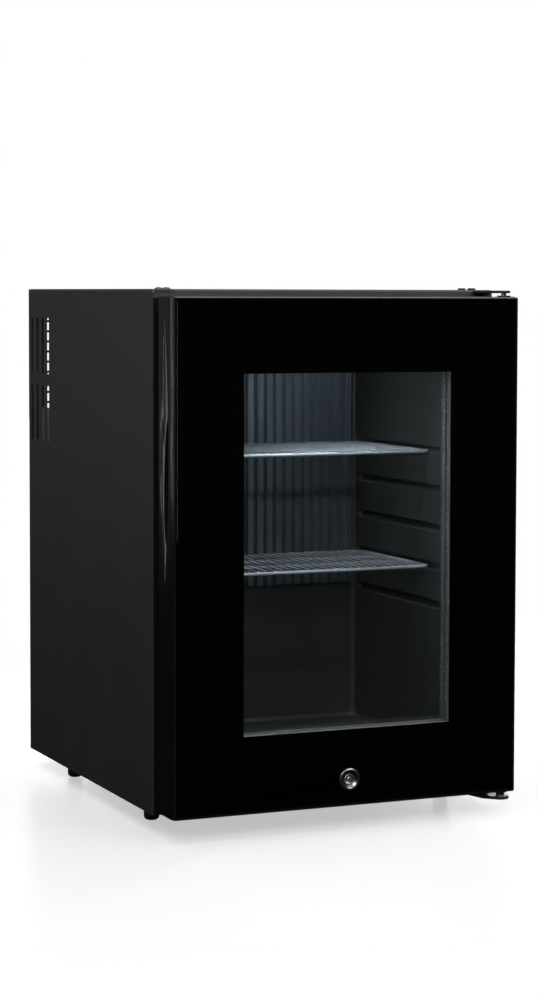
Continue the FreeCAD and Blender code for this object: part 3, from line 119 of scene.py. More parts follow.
# %% A finish and its nodes
class Finish:
    def __init__(self, name):
        self.material = bpy.data.materials.new(name)
        self.material.use_nodes = True
        self.tree = self.material.node_tree
        self.tree.nodes.clear()
        self.place = self.node("ShaderNodeTexCoord", out="Object")

    def node(self, kind, settings=None, values=(), out=0):
        made = self.tree.nodes.new(kind)
        for key, value in (settings or {}).items():
            if key == "stops":
                self.fill_ramp(made.color_ramp, value)
            else:
                setattr(made, key, value)
        pairs = values.items() if isinstance(values, dict) else enumerate(values)
        for key, value in pairs:
            if isinstance(value, Sock):
                self.tree.links.new(value.link, made.inputs[key])
            else:
                made.inputs[key].default_value = value
        return Sock(self, made.outputs[out])

    @staticmethod
    def fill_ramp(ramp, stops):
        while len(ramp.elements) < len(stops):
            ramp.elements.new(0.5)
        for element, (position, grey) in zip(ramp.elements, stops):
            element.position = position
            element.color = (grey, grey, grey, 1)

    def along(self, axis):
        """One coordinate of the place on the object, in millimetres from its origin."""
        return self.node("ShaderNodeSeparateXYZ", values=[self.place], out=axis) / MM

    def noise(self, size, detail=2.0, stretch=(1, 1, 1)):
        """Cloudy noise from 0 to 1 whose spots are about size millimetres wide."""
        scaled = self.node("ShaderNodeVectorMath", {"operation": "MULTIPLY"}, [self.place, stretch])
        return self.node("ShaderNodeTexNoise", values={
            "Vector": scaled, "Scale": 1 / (size * MM), "Detail": detail})

    def cells(self, size, feature="F1"):
        return self.node("ShaderNodeTexVoronoi", {"feature": feature},
                         {"Vector": self.place, "Scale": 1 / (size * MM)})

    def ramp(self, value, *stops):
        return self.node("ShaderNodeValToRGB", {"stops": stops}, [value])

    def mix(self, share, first, second):
        return self.node("ShaderNodeMix", {"data_type": "RGBA"}, {0: share, 6: first, 7: second}, out=2)

    def bump(self, height, depth, **under):
        """A normal from a height of 0 to 1 that stands for depth millimetres, over another if given."""
        return self.node("ShaderNodeBump", values={
            "Strength": 1.0, "Distance": depth * MM, "Height": height, **under})

    def shine(self, **values):
        """End the finish in a Principled shader, whose values are named as in Blender."""
        sockets = {key.replace("_", " ").title().replace("Ior", "IOR"): value
                   for key, value in values.items()}
        self.node_out(self.node("ShaderNodeBsdfPrincipled", values=sockets))
        return self.material

    def node_out(self, surface):
        made = self.tree.nodes.new("ShaderNodeOutputMaterial")
        self.tree.links.new(surface.link, made.inputs["Surface"])


def tone(red, green, blue):
    """A colour as seen on a screen, 0 to 255, turned into the linear values that light is reckoned in."""
    shares = [value / 255 for value in (red, green, blue)]
    return (*(v / 12.92 if v <= 0.04 else ((v + 0.055) / 1.055) ** 2.4 for v in shares), 1.0)


print("mid grey in light:", round(tone(118, 118, 118)[0], 3))

# %% [markdown]
# ## Painted steel
# The cabinet is steel with a baked black coat. Such a coat isn't quite flat: it has a fine skin like an
# orange, and large soft clouds where it is a little more or less shiny. A picture of paint would blur
# when seen close. Two noises, one of them under a millimetre, stay sharp at any distance. The front
# flange beside the door gets painted shade: a near-black coat with almost no shine stands in for the
# shadow that the door casts there, so the gap reads as a dark line. A mask made of two places mixes both
# shaders.

# %% Finishes of the cabinet
def painted(name, colour, rough, skin=0.006, seam=None):
    finish = Finish(name)
    clouds = finish.noise(70, 3)
    skin_noise = finish.noise(0.9, 1)
    dust = finish.ramp(finish.noise(6, 4), (0.55, 0), (0.8, 1))
    lighter = tuple(v * 1.5 for v in colour[:3]) + (1,)
    coat = finish.shine(
        base_color=finish.mix(dust * 0.3 + clouds * 0.3, colour, lighter),
        roughness=clouds * 0.1 + dust * 0.04 + (rough - 0.05),
        specular_ior_level=0.42,
        normal=finish.bump(skin_noise, skin))
    if seam:
        painted_shade_at_seam(finish, seam, skin_noise)
    return coat


def painted_shade_at_seam(finish, seam, grain):
    """In front of one place and below another, the coat gives way to a near-black painted shade."""
    front, high = seam
    glossy = Sock(finish, next(n for n in finish.tree.nodes if n.type == "BSDF_PRINCIPLED").outputs[0])
    # painted shade: near-black and barely reflecting, for the door's shadow on the flange
    near_black_shade = finish.node("ShaderNodeBsdfPrincipled", values={
        "Base Color": finish.mix(grain, tone(5, 5, 5), tone(9, 9, 9)),
        "Roughness": 0.7, "Specular IOR Level": 0.06})
    painted_shade_mask = (finish.along("Y") < front) * (finish.along("Z") < high)
    both = finish.node("ShaderNodeMixShader", values=[painted_shade_mask, glossy, near_black_shade])
    finish.tree.links.new(both.link, finish.tree.get_output_node("ALL").inputs["Surface"])


def zinc(name, colour, rough=0.32, spangle=5.0):
    finish = Finish(name)
    flakes = finish.node("ShaderNodeTexVoronoi", out="Color", values={
        "Vector": finish.place, "Scale": 1 / (spangle * MM)})
    grey = finish.node("ShaderNodeRGBToBW", values=[flakes])
    darker = tuple(v * 0.7 for v in colour[:3]) + (1,)
    return finish.shine(
        base_color=finish.mix(grey, darker, colour), metallic=1.0,
        roughness=grey * 0.12 + finish.noise(1.2, 3) * 0.1 + (rough - 0.1),
        normal=finish.bump(finish.noise(0.5, 2), 0.004))


coat_black = painted("baked_black_coat", tone(30, 31, 33), 0.36)
# painted shade on the flange behind the door: in front of this depth and below the top flange
SEAM_DEEP, SEAM_BELOW_TOP = 0.35, 9.0
seam_limits = (CABINET_FRONT / MM + SEAM_DEEP, span("cabinet_wrap")[5] - SEAM_BELOW_TOP)
wrap_coat = painted("baked_coat_painted_shade_at_the_seal", tone(30, 31, 33), 0.36, seam=seam_limits)
hinge_black = painted("black_hinge_plate", tone(26, 26, 27), 0.3, 0.003)
galvanised = zinc("galvanised_sheet", tone(168, 170, 172))
screw_zinc = zinc("zinc_screw", tone(178, 178, 174), 0.25, 1.5)
screw_black = zinc("black_screw", tone(44, 44, 46), 0.34, 1.5)
pin_steel = zinc("bright_pin_steel", tone(200, 201, 203), 0.16, 2.0)
print("cabinet finishes:", coat_black.name, hinge_black.name, galvanised.name)

# %% [markdown]
# ## Moulded plastics and rubber
# Plastic takes the surface of its mould. The door frame comes from a polished mould, so it is glossy with
# a very slow waviness that bends reflections. The liner, grille and housings come from an etched mould,
# which leaves a leathery grain. One function with the grain's size and depth covers them all.

# %% Finishes of plastics
def moulded(name, colour, rough, grain=0.6, depth=0.01, wave=0.0):
    finish = Finish(name)
    slow = finish.noise(9, 2, (1, 1, 0.05)) if wave else finish.noise(30, 1)
    fine = finish.cells(grain)
    wear = finish.ramp(finish.noise(9, 4), (0.5, 0), (0.85, 1))
    lighter = tuple(v * 1.35 + 0.002 for v in colour[:3]) + (1,)
    under = {"Normal": finish.bump(slow, wave)} if wave else {}
    return finish.shine(
        base_color=finish.mix(slow * 0.4 + wear * 0.35, colour, lighter),
        roughness=slow * 0.08 + wear * 0.05 + (rough - 0.06), normal=finish.bump(fine, depth, **under))


frame_gloss = moulded("polished_black_frame", tone(9, 9, 10), 0.14, 0.8, 0.002, wave=0.6)
inner_satin = moulded("satin_inner_frame", tone(27, 27, 28), 0.38, 0.7, 0.012)
liner_grain = moulded("grained_liner", tone(40, 41, 42), 0.46, 0.9, 0.006)
grille_grain = moulded("grained_grille", tone(24, 24, 24), 0.5, 0.7, 0.02)
case_grey = moulded("grey_case", tone(128, 130, 132), 0.5, 0.8, 0.02)
nylon_black = moulded("black_nylon", tone(34, 34, 35), 0.35, 0.5, 0.006)
plug_black = moulded("black_plug", tone(24, 24, 25), 0.3, 0.5, 0.004)
knob_black = moulded("satin_knob", tone(30, 30, 31), 0.34, 0.5, 0.008)
lens_frost = moulded("frosted_lens", tone(226, 230, 232), 0.45, 0.5, 0.02)
ceramic = moulded("module_ceramic", tone(222, 222, 216), 0.6, 0.3, 0.01)
rubber_foot = moulded("foot_rubber", tone(18, 18, 18), 0.62, 0.4, 0.015)
print("plastic finishes share one function, from", frame_gloss.name, "to", rubber_foot.name)

# %% [markdown]
# ## The gasket, the foam and the copper
# A magnetic gasket is soft vinyl, drawn through a die, so fine lines run along it. Foam is a froth of
# small cells. Copper pipe has a warm tarnish in patches. Each gets its own pattern at its own size.

# %% Finishes with a pattern of their own
def drawn_rubber():
    finish = Finish("drawn_gasket_rubber")
    lines = finish.node("ShaderNodeTexWave", {"wave_type": "BANDS", "bands_direction": "Y"},
                        {"Vector": finish.place, "Scale": 420.0, "Distortion": 0.6, "Detail": 1.0})
    bloom = finish.noise(14, 4)
    return finish.shine(
        base_color=finish.mix(bloom, tone(10, 10, 10), tone(20, 20, 21)),
        roughness=bloom * 0.15 + 0.42, normal=finish.bump(lines * 0.6 + finish.noise(0.6) * 0.4, 0.03))


def froth():
    finish = Finish("insulating_foam")
    cells = finish.cells(1.6)
    return finish.shine(
        base_color=finish.mix(cells * 0.7 + finish.noise(12, 3) * 0.4,
                              tone(224, 206, 150), tone(178, 152, 92)),
        roughness=0.9, normal=finish.bump(cells, 0.25))


def tarnished_copper():
    finish = Finish("tarnished_copper")
    patches = finish.ramp(finish.noise(18, 4), (0.35, 0), (0.7, 1))
    return finish.shine(
        base_color=finish.mix(patches, tone(214, 142, 104), tone(138, 84, 62)), metallic=1.0,
        roughness=patches * 0.25 + 0.22, normal=finish.bump(finish.noise(0.8, 2), 0.004))


def magnet_strip():
    finish = Finish("magnet_strip")
    grain = finish.noise(0.8, 4)
    return finish.shine(base_color=finish.mix(grain, tone(54, 48, 44), tone(82, 74, 68)),
                        roughness=grain * 0.2 + 0.6, normal=finish.bump(grain, 0.02))


gasket_rubber = drawn_rubber()
foam_yellow = froth()
copper = tarnished_copper()
magnet = magnet_strip()
print("patterned finishes:", gasket_rubber.name, foam_yellow.name, copper.name, magnet.name)

# %% [markdown]
# ## Aluminium, three ways
# The cold plate is an extrusion: fine lines run up and down it, under a bluish anodised film. The fins are
# thin rolled sheet with lines across. The bars between the panes are speckled with two rows of pinholes,
# which let the drying grains inside reach the air between the panes.

# %% Finishes of aluminium
def drawn_aluminium(name, colour, rough, stretch):
    finish = Finish(name)
    lines = finish.noise(0.7, 3, stretch)
    clouds = finish.noise(25, 3)
    darker = tuple(v * 0.72 for v in colour[:3]) + (1,)
    return finish.shine(
        base_color=finish.mix(lines * 0.6 + clouds * 0.4, darker, colour), metallic=0.9,
        roughness=lines * 0.18 + clouds * 0.08 + (rough - 0.12), normal=finish.bump(lines, 0.012))


def pinholed_bar():
    finish = Finish("pinholed_spacer_bar")
    across, run = finish.along("Y"), finish.along("X") + finish.along("Z")
    pitch, hole, row_gap = 3.2, 0.42, 2.4
    step = finish.node("ShaderNodeMath", {"operation": "PINGPONG"}, [run, pitch / 2])
    row = finish.node("ShaderNodeMath", {"operation": "PINGPONG"}, [across, row_gap / 2])
    distance = finish.node("ShaderNodeMath", {"operation": "SQRT"}, [step * step + row * row])
    holes = distance < hole
    speckle = finish.ramp(finish.noise(2.2, 2), (0.56, 0), (0.68, 1))
    metal = finish.mix(speckle, tone(58, 60, 63), tone(138, 141, 146))
    return finish.shine(
        # The pinholes are dark dots of painted shade, for the unlit inside of each hole, with a small dent.
        base_color=finish.mix(holes, metal, tone(30, 30, 31)), metallic=0.35,
        roughness=speckle * 0.2 + 0.35, normal=finish.bump(speckle - holes, 0.05))


cold_anodised = drawn_aluminium("anodised_cold_plate", tone(118, 126, 138), 0.42, (1, 1, 0.03))
fin_sheet = drawn_aluminium("rolled_fin_sheet", tone(206, 208, 210), 0.3, (0.04, 1, 1))
block_cast = drawn_aluminium("cast_block", tone(180, 182, 184), 0.45, (1, 1, 1))
spacer_bar = pinholed_bar()
print("aluminium finishes:", cold_anodised.name, fin_sheet.name, spacer_bar.name)

# %% [markdown]
# ## Glass that lets light through
# A pane could be a solid of refracting glass, but then the renderer finds no straight way for light into
# the compartment, and the inside turns noisy and dark. A flat pane hardly bends light, so it is drawn as
# what it does: it lets light pass, slightly green, and mirrors a little of it, more at a slant. Fresnel
# gives how much.

# %% Finishes of glass and its black print
def clear_pane(name, tint, smear):
    finish = Finish(name)
    film = finish.ramp(finish.noise(45, 5), (0.5, 0), (0.75, 1))
    through = finish.node("ShaderNodeBsdfTransparent", values={"Color": tint})
    mirror = finish.node("ShaderNodeBsdfPrincipled", values={
        "Base Color": tone(240, 244, 243), "Metallic": 1.0, "Roughness": film * 0.03 + 0.01})
    slant = finish.node("ShaderNodeFresnel", values={"IOR": 1.5})
    finish.node_out(finish.node("ShaderNodeMixShader", values=[slant + film * smear, through, mirror]))
    return finish.material


def fired_enamel():
    finish = Finish("fired_black_enamel")
    grain = finish.noise(0.5, 2)
    return finish.shine(
        base_color=finish.mix(grain, tone(1, 1, 1), tone(3, 3, 4)), roughness=grain * 0.1 + 0.4,
        specular_ior_level=0.0, normal=finish.bump(grain, 0.003))


outer_glass = clear_pane("outer_pane_glass", tone(248, 250, 249), 0.002)
inner_glass = clear_pane("inner_pane_glass", tone(250, 251, 250), 0.001)
border_enamel = fired_enamel()
print("glass finishes:", outer_glass.name, inner_glass.name, border_enamel.name)

# %% [markdown]
# ## Bright small parts
# The lock is turned brass under satin chrome, so its brushing runs in rings round its axis. The shelves
# are steel wire dipped in a bluish white enamel that gathers slightly. The circuit board has copper lines
# under green lacquer, and its lamps glow.

# %% Finishes of small parts
lock_box = span("lock_housing")
LOCK_X, LOCK_Z = (lock_box[0] + lock_box[1]) / 2, (lock_box[4] + lock_box[5]) / 2


def ringed_chrome(name, colour, rough):
    finish = Finish(name)
    east, up = finish.along("X") - LOCK_X, finish.along("Z") - LOCK_Z
    radius = finish.node("ShaderNodeMath", {"operation": "SQRT"}, [east * east + up * up])
    rings = finish.node("ShaderNodeMath", {"operation": "SINE"}, [radius * 16.0 + finish.noise(3) * 3.0])
    height = rings * 0.5 + 0.5
    darker = tuple(v * 0.75 for v in colour[:3]) + (1,)
    return finish.shine(
        base_color=finish.mix(height, darker, colour), metallic=1.0,
        roughness=height * 0.1 + (rough - 0.05), normal=finish.bump(height, 0.006))


def dipped_wire():
    finish = Finish("dipped_shelf_wire")
    slow, fine = finish.noise(8, 2), finish.noise(1.0, 2)
    return finish.shine(base_color=finish.mix(slow, tone(122, 126, 138), tone(146, 150, 162)),
                        roughness=slow * 0.12 + 0.34, normal=finish.bump(fine, 0.01))


def lacquered_board(name, glow):
    finish = Finish(name)
    lines = finish.ramp(finish.cells(3.5, "DISTANCE_TO_EDGE"), (0.06, 1), (0.1, 0))
    green = finish.mix(lines, tone(18, 74, 40), tone(44, 122, 66))
    lamp_low = span("led_board")[4] + 1.0
    lamps = finish.along("Z") < lamp_low if glow else lines * 0.0
    return finish.shine(
        base_color=finish.mix(lamps, green, tone(250, 246, 210)), roughness=lines * 0.1 + 0.3,
        emission_color=finish.mix(lamps, (0, 0, 0, 1), (0.85, 0.93, 1.0, 1)), emission_strength=2.0,
        normal=finish.bump(lines, 0.04))


def lead_skin():
    finish = Finish("red_lead_skin")
    blush = finish.noise(3, 3)
    return finish.shine(base_color=finish.mix(blush, tone(150, 26, 22), tone(182, 40, 32)),
                        roughness=blush * 0.15 + 0.35, normal=finish.bump(finish.noise(0.7), 0.01))


lock_chrome = ringed_chrome("ringed_satin_chrome", tone(126, 125, 123), 0.26)
plug_chrome = ringed_chrome("plug_chrome", tone(196, 195, 192), 0.32)
shelf_enamel = dipped_wire()
board_green = lacquered_board("lacquered_board", False)
lamp_board = lacquered_board("lamp_board", True)
lead_red = lead_skin()
print("small finishes:", lock_chrome.name, shelf_enamel.name, lamp_board.name)

# %% [markdown]
# ## Mesh tools
# Most of this fridge is sheet and mouldings: blocks with rounded edges, prisms, rings with mitred corners
# and turned parts. Each could be modelled by hand in Edit Mode, but a short function that returns a bmesh
# in millimetres can be used again and keeps every size readable. The simplest come first.

# %% Blocks and prisms
def as_bmesh(verts, faces):
    form = bmesh.new()
    made = [form.verts.new(v) for v in verts]
    for face in faces:
        form.faces.new([made[i] for i in face])
    bmesh.ops.recalc_face_normals(form, faces=form.faces)
    return form


def block(x0, x1, y0, y1, z0, z1):
    verts = [(x, y, z) for x in (x0, x1) for y in (y0, y1) for z in (z0, z1)]
    faces = [(0, 1, 3, 2), (4, 6, 7, 5), (0, 4, 5, 1), (2, 3, 7, 6), (0, 2, 6, 4), (1, 5, 7, 3)]
    return as_bmesh(verts, faces)


def prism(outline, axis, low, high):
    """An outline drawn across one axis, 0 for X, 1 for Y and 2 for Z, and drawn out along it."""
    def point(a, b, c):
        return {0: (c, a, b), 1: (a, c, b), 2: (a, b, c)}[axis]
    n = len(outline)
    verts = [point(a, b, low) for a, b in outline] + [point(a, b, high) for a, b in outline]
    faces = [tuple(range(n)), tuple(range(n, 2 * n))]
    faces += [(i, (i + 1) % n, n + (i + 1) % n, n + i) for i in range(n)]
    return as_bmesh(verts, faces)


def arc(cx, cy, radius, start, end, steps):
    """Points on a circle between two angles in degrees."""
    turns = [math.radians(start + (end - start) * i / steps) for i in range(steps + 1)]
    return [(cx + radius * math.cos(t), cy + radius * math.sin(t)) for t in turns]


def softened(form, width, chosen=lambda edge: True, steps=2, sharper=30):
    """Round the edges that turn by more than a number of degrees and are chosen."""
    edges = [e for e in form.edges
             if len(e.link_faces) == 2 and e.calc_face_angle() > math.radians(sharper) and chosen(e)]
    bmesh.ops.bevel(form, geom=edges, offset=width, segments=steps, profile=0.5, affect="EDGES",
                    clamp_overlap=True)
    return form


def runs(edge, axis):
    """True if an edge runs along that axis."""
    step = edge.verts[1].co - edge.verts[0].co
    return abs(step[axis]) > 0.99 * step.length


test = softened(block(0, 10, 0, 10, 0, 10), 1.0)
print("a softened block has", len(test.faces), "faces")
test.free()

# %% [markdown]
# ## Shapes that follow a line
# Picture frames, turned parts and wires have one thing in common: a small section follows a line. Curve
# objects with a bevel could do it, but they don't give mitred corners or wires with soft ends. So the
# points are worked out here, ring by ring, and joined to the next ring with faces.

# %% Rings, turned parts and rods
def mitred_ring(profile, outer, inner):
    """A bar with that profile run round a rectangle. A profile point is (share of the way in, y)."""
    corners = [(0, 2), (1, 2), (1, 3), (0, 3)]
    verts = []
    for i, j in corners:
        for share, y in profile:
            x = outer[i] + (inner[i] - outer[i]) * share
            z = outer[j] + (inner[j] - outer[j]) * share
            verts.append((x, y, z))
    n = len(profile)
    faces = []
    for c in range(4):
        here, there = c * n, (c + 1) % 4 * n
        faces += [(here + k, here + (k + 1) % n, there + (k + 1) % n, there + k) for k in range(n)]
    return as_bmesh(verts, faces)


def turned(profile, place, axis, steps=48, closed=False, flutes=None):
    """A profile of (radius, height) spun round an axis. flutes may change a radius by the angle."""
    def point(radius, height, angle):
        if flutes:
            radius = flutes(radius, height, angle)
        a, b = radius * math.cos(angle), radius * math.sin(angle)
        spot = {0: (height, a, b), 1: (a, height, b), 2: (a, b, height)}[axis]
        return tuple(p + q for p, q in zip(spot, place))
    verts, rings = [], []
    for radius, height in profile:
        count = steps if radius > 0 else 1
        rings.append(range(len(verts), len(verts) + count))
        verts += [point(radius, height, math.tau * i / steps) for i in range(count)]
    faces = []
    pairs = list(zip(rings, rings[1:])) + ([(rings[-1], rings[0])] if closed else [])
    for near, far in pairs:
        for i in range(steps):
            j = (i + 1) % steps
            quad = [near[i % len(near)], near[j % len(near)], far[j % len(far)], far[i % len(far)]]
            faces.append(tuple(dict.fromkeys(quad)))
    return as_bmesh(verts, faces)


def rod(start, end, radius, sides=12, tip=0.35):
    """A straight wire with softly rounded ends."""
    start, end = Vector(start), Vector(end)
    length = (end - start).length
    tip = tip * radius
    half_outline = [(0, 0), (radius - tip, 0), (radius, tip), (radius, length - tip),
                    (radius - tip, length), (0, length)]
    form = turned(half_outline, (0, 0, 0), 2, sides)
    turn = Vector((0, 0, 1)).rotation_difference(end - start).to_matrix().to_4x4()
    bmesh.ops.transform(form, matrix=Matrix.Translation(start) @ turn, verts=form.verts)
    return form


def flat_loop(points, radius, sides=14):
    """A wire bent into a closed loop that lies flat, through points at one height."""
    n, verts, faces = len(points), [], []
    for i, here in enumerate(points):
        before, after = Vector(points[i - 1]), Vector(points[(i + 1) % n])
        way = (after - before).normalized()
        across = way.cross(Vector((0, 0, 1)))
        for k in range(sides):
            angle = math.tau * k / sides
            rise = Vector((0, 0, radius * math.sin(angle)))
            verts.append(Vector(here) + across * (radius * math.cos(angle)) + rise)
    for i in range(n):
        here, there = i * sides, (i + 1) % n * sides
        for k in range(sides):
            following = (k + 1) % sides
            faces.append((here + k, here + following, there + following, there + k))
    return as_bmesh(verts, faces)


def egg(cx, cy, cz, rx, ry, rz):
    form = bmesh.new()
    bmesh.ops.create_uvsphere(form, u_segments=72, v_segments=40, radius=1.0)
    scale = Matrix.Diagonal((rx, ry, rz, 1))
    bmesh.ops.transform(form, matrix=Matrix.Translation((cx, cy, cz)) @ scale, verts=form.verts)
    return form


test = mitred_ring([(0, 0), (1, 0), (1, 1), (0, 1)], (0, 10, 0, 10), (2, 8, 2, 8))
print("a mitred ring has", len(test.faces), "faces")
test.free()

# %% [markdown]
# ## Join, cut and place
# Holes are cut with a Boolean modifier, which is safer than stitching faces by hand, and it is applied at
# once, so that later edges can be rounded too. The last function takes a finished drawing from
# millimetres to the frame's metres, gives it smooth shading and its finish, and lets it ride on the body
# that it moves with.

# %% Join, cut and place
def together(forms):
    """Several forms in one bmesh."""
    whole = bmesh.new()
    for form in forms:
        mesh = bpy.data.meshes.new("part")
        form.to_mesh(mesh)
        whole.from_mesh(mesh)
        bpy.data.meshes.remove(mesh)
        form.free()
    return whole


def holder(form, name):
    mesh = bpy.data.meshes.new(name)
    form.to_mesh(mesh)
    form.free()
    made = bpy.data.objects.new(name, mesh)
    bpy.context.scene.collection.objects.link(made)
    return made


def combined(form, others, operation="DIFFERENCE"):
    """Cut forms out of another, or weld them on, with a Boolean modifier that is applied at once."""
    host, tool = holder(form, "host"), holder(together(others), "tool")
    boolean = host.modifiers.new("boolean", "BOOLEAN")
    boolean.operation, boolean.solver, boolean.use_self, boolean.object = operation, "EXACT", True, tool
    bpy.context.view_layer.update()
    mesh = bpy.data.meshes.new_from_object(host.evaluated_get(bpy.context.evaluated_depsgraph_get()))
    result = bmesh.new()
    result.from_mesh(mesh)
    bmesh.ops.remove_doubles(result, verts=result.verts, dist=0.002)
    bmesh.ops.dissolve_degenerate(result, edges=result.edges, dist=0.002)
    for thing in (host, tool):
        data = thing.data
        bpy.data.objects.remove(thing)
        bpy.data.meshes.remove(data)
    bpy.data.meshes.remove(mesh)
    return result


def placed(name, form, finish, body, nodes, smooth=32):
    """Turn a drawing into a piece of the fridge, in the frame's metres, that rides on its body."""
    bmesh.ops.recalc_face_normals(form, faces=form.faces)
    bmesh.ops.transform(form, matrix=Matrix.Translation((0, CABINET_FRONT, 0)) @ Matrix.Scale(MM, 4),
                        verts=form.verts)
    piece = holder(form, name)
    piece.data.shade_smooth()
    piece.data.set_sharp_from_angle(angle=math.radians(smooth))
    weighted = piece.modifiers.new("flat faces stay flat", "WEIGHTED_NORMAL")
    weighted.keep_sharp = True
    piece.data.materials.append(finish)
    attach(piece, body)
    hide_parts(*nodes)
    print(f"{name}: {len(piece.data.polygons)} faces, rides on {body}")
    return piece


print("each drawing is placed", CABINET_FRONT, "m along Y, where the cabinet's front is")

# %% [markdown]
# ## The cabinet's wrap
# One steel sheet goes up the left side, over the top and down the right side. At the front and rear its
# edges are folded in. It could be bent from a flat sheet with a modifier, but cutting a smaller rounded
# block out of a larger one gives the same shell with its bends in one step. Slots for air and for the
# hinge plate, the holes for its screws and the fine gaps at the mitred front corners are then cut, as on
# the real press.

# %% Shell
x0, x1, y0, y1, z0, z1 = span("cabinet_wrap")
SHEET = 0.6
FLANGE, REAR_FLANGE = 34.0, 12.0
TOP_BEND, FRONT_BEND = 3.0, 1.9


def bent_shell(inset, low):
    """A block as large as the cabinet less an inset, rounded where the sheet is bent."""
    def front_bend(edge):
        at_front = max(v.co.y for v in edge.verts) < y0 + inset + 0.1
        along_the_base = runs(edge, 0) and edge.verts[0].co.z < low + 1
        return at_front and min(v.co.z for v in edge.verts) > low - 1 and not along_the_base

    form = block(x0 + inset, x1 - inset, y0 + inset, y1 - inset, low, z1 - inset)
    softened(form, TOP_BEND - inset, lambda e: runs(e, 1) and e.verts[0].co.z > z1 - 5, 5)
    return softened(form, FRONT_BEND - inset, front_bend, 4, sharper=60)


def stadium(cy, cz0, cz1, radius):
    return arc(cy, cz1 - radius, radius, 0, 180, 10) + arc(cy, cz0 + radius, radius, 180, 360, 10)


VENT_PITCH, VENT_LENGTH, VENT_RADIUS = 20.0, 67.0, 4.0
FIRST_VENT, VENT_TOPS = y1 - 12.5, (z1 - 33.5, z1 - 113.5)
vents = []
for column in range(4):
    for high in VENT_TOPS:
        slot = stadium(FIRST_VENT - VENT_PITCH * column, high - VENT_LENGTH, high, VENT_RADIUS)
        vents.append(prism(slot, 0, x0 - 2, x1 + 2))
print("air slots on each side:", len(vents))

# %% Flanges, hinge slots and mitres
SCREW_X, SCREW_YS, SCREW_RADIUS = 181.0, (12.0, 35.0), 2.5
SLOT_WIDTH, MITRE_GAP = 24.0, 0.7
ways = [block(x0 + FLANGE, x1 - FLANGE, -2, SHEET + 2, z0 - 2, z1 - FLANGE),
        block(x0 + REAR_FLANGE, x1 - REAR_FLANGE, y1 - SHEET - 2, y1 + 2, z0 - 2, z1 - REAR_FLANGE)]
plate = span("top_hinge_bracket")
for side in (-1, 1):
    slot_in, slot_out = x1 - SHEET - SLOT_WIDTH, x1 - SHEET
    ways.append(block(*sorted((side * slot_in, side * slot_out)), -2, SHEET + 2, plate[4], plate[5]))
    mitre = block(1.2, 45.0, -1, SHEET - 0.12, -MITRE_GAP / 2, MITRE_GAP / 2)
    turn = Matrix.Rotation(math.radians(45 if side < 0 else 135), 4, "Y")
    corner = Matrix.Translation((side * (x1 - 1.5), 0, z1 - 1.5))
    bmesh.ops.transform(mitre, matrix=corner @ turn, verts=mitre.verts)
    ways.append(mitre)
    for y in SCREW_YS:
        ways.append(prism(arc(side * SCREW_X, y, SCREW_RADIUS, 0, 337.5, 15), 2, z1 - 5, z1 + 2))
wrap = combined(bent_shell(0, z0), [bent_shell(SHEET, z0 - 2)])
wrap = combined(wrap, ways + vents)
placed("cabinet_wrap_sheet", wrap, wrap_coat, "cabinet", ["cabinet_wrap"])

# %% [markdown]
# ## Rear cover
# The rear cover is a thin sheet. On its own it would drum, so such sheets get a shallow frame pressed
# into them. It is pressed outwards, to stay clear of what is fixed inside. A displacement picture could
# raise it, but a grid of points with a height that depends on the distance to that frame is exact and
# needs no picture.

# %% Rear cover
bx0, bx1, by0, by1, bz0, bz1 = span("back_panel")
inlet = span("power_inlet")
BEAD_WIDTH, BEAD_HEIGHT, BEAD_INSET = 8.0, 1.4, 24.0


def bead_height(x, z):
    left, right = bx0 + BEAD_INSET, bx1 - BEAD_INSET
    low, high = bz0 + BEAD_INSET, bz1 - BEAD_INSET
    dx, dz = max(left - x, x - right), max(low - z, z - high)
    distance = abs(math.hypot(max(dx, 0), max(dz, 0)) + min(max(dx, dz), 0))
    inside = max(0.0, 1 - distance / BEAD_WIDTH)
    return BEAD_HEIGHT * inside * inside * (3 - 2 * inside)


columns, rows = 134, 134
INLET_LIP = 3.8
verts = []
for layer in (by1, by0):
    for j in range(rows + 1):
        for i in range(columns + 1):
            x, z = bx0 + (bx1 - bx0) * i / columns, bz0 + (bz1 - bz0) * j / rows
            verts.append((x, layer + bead_height(x, z), z))
count = (columns + 1) * (rows + 1)
faces = []
for j in range(rows):
    for i in range(columns):
        a = j * (columns + 1) + i
        quad = (a, a + 1, a + columns + 2, a + columns + 1)
        faces += [quad, tuple(count + k for k in reversed(quad))]
rim = list(range(columns))
rim += [j * (columns + 1) + columns for j in range(rows)]
rim += [rows * (columns + 1) + i for i in range(columns, 0, -1)]
rim += [j * (columns + 1) for j in range(rows, 0, -1)]
faces += [(a, b, b + count, a + count) for a, b in zip(rim, rim[1:] + rim[:1])]
inlet_hole = block(inlet[0] + INLET_LIP, inlet[1] - INLET_LIP, by0 - 4, by1 + 2,
                   inlet[4] + INLET_LIP, inlet[5] - INLET_LIP)
cover = combined(as_bmesh(verts, faces), [inlet_hole])
placed("rear_cover", cover, coat_black, "cabinet", ["back_panel"])

# %% [markdown]
# ## Rear grille
# The grille above the cover is a moulding: a plate with ten rows of openings on both sides of a middle
# bar, all with rounded corners. Each opening is a rounded block, and one Boolean cuts them all.

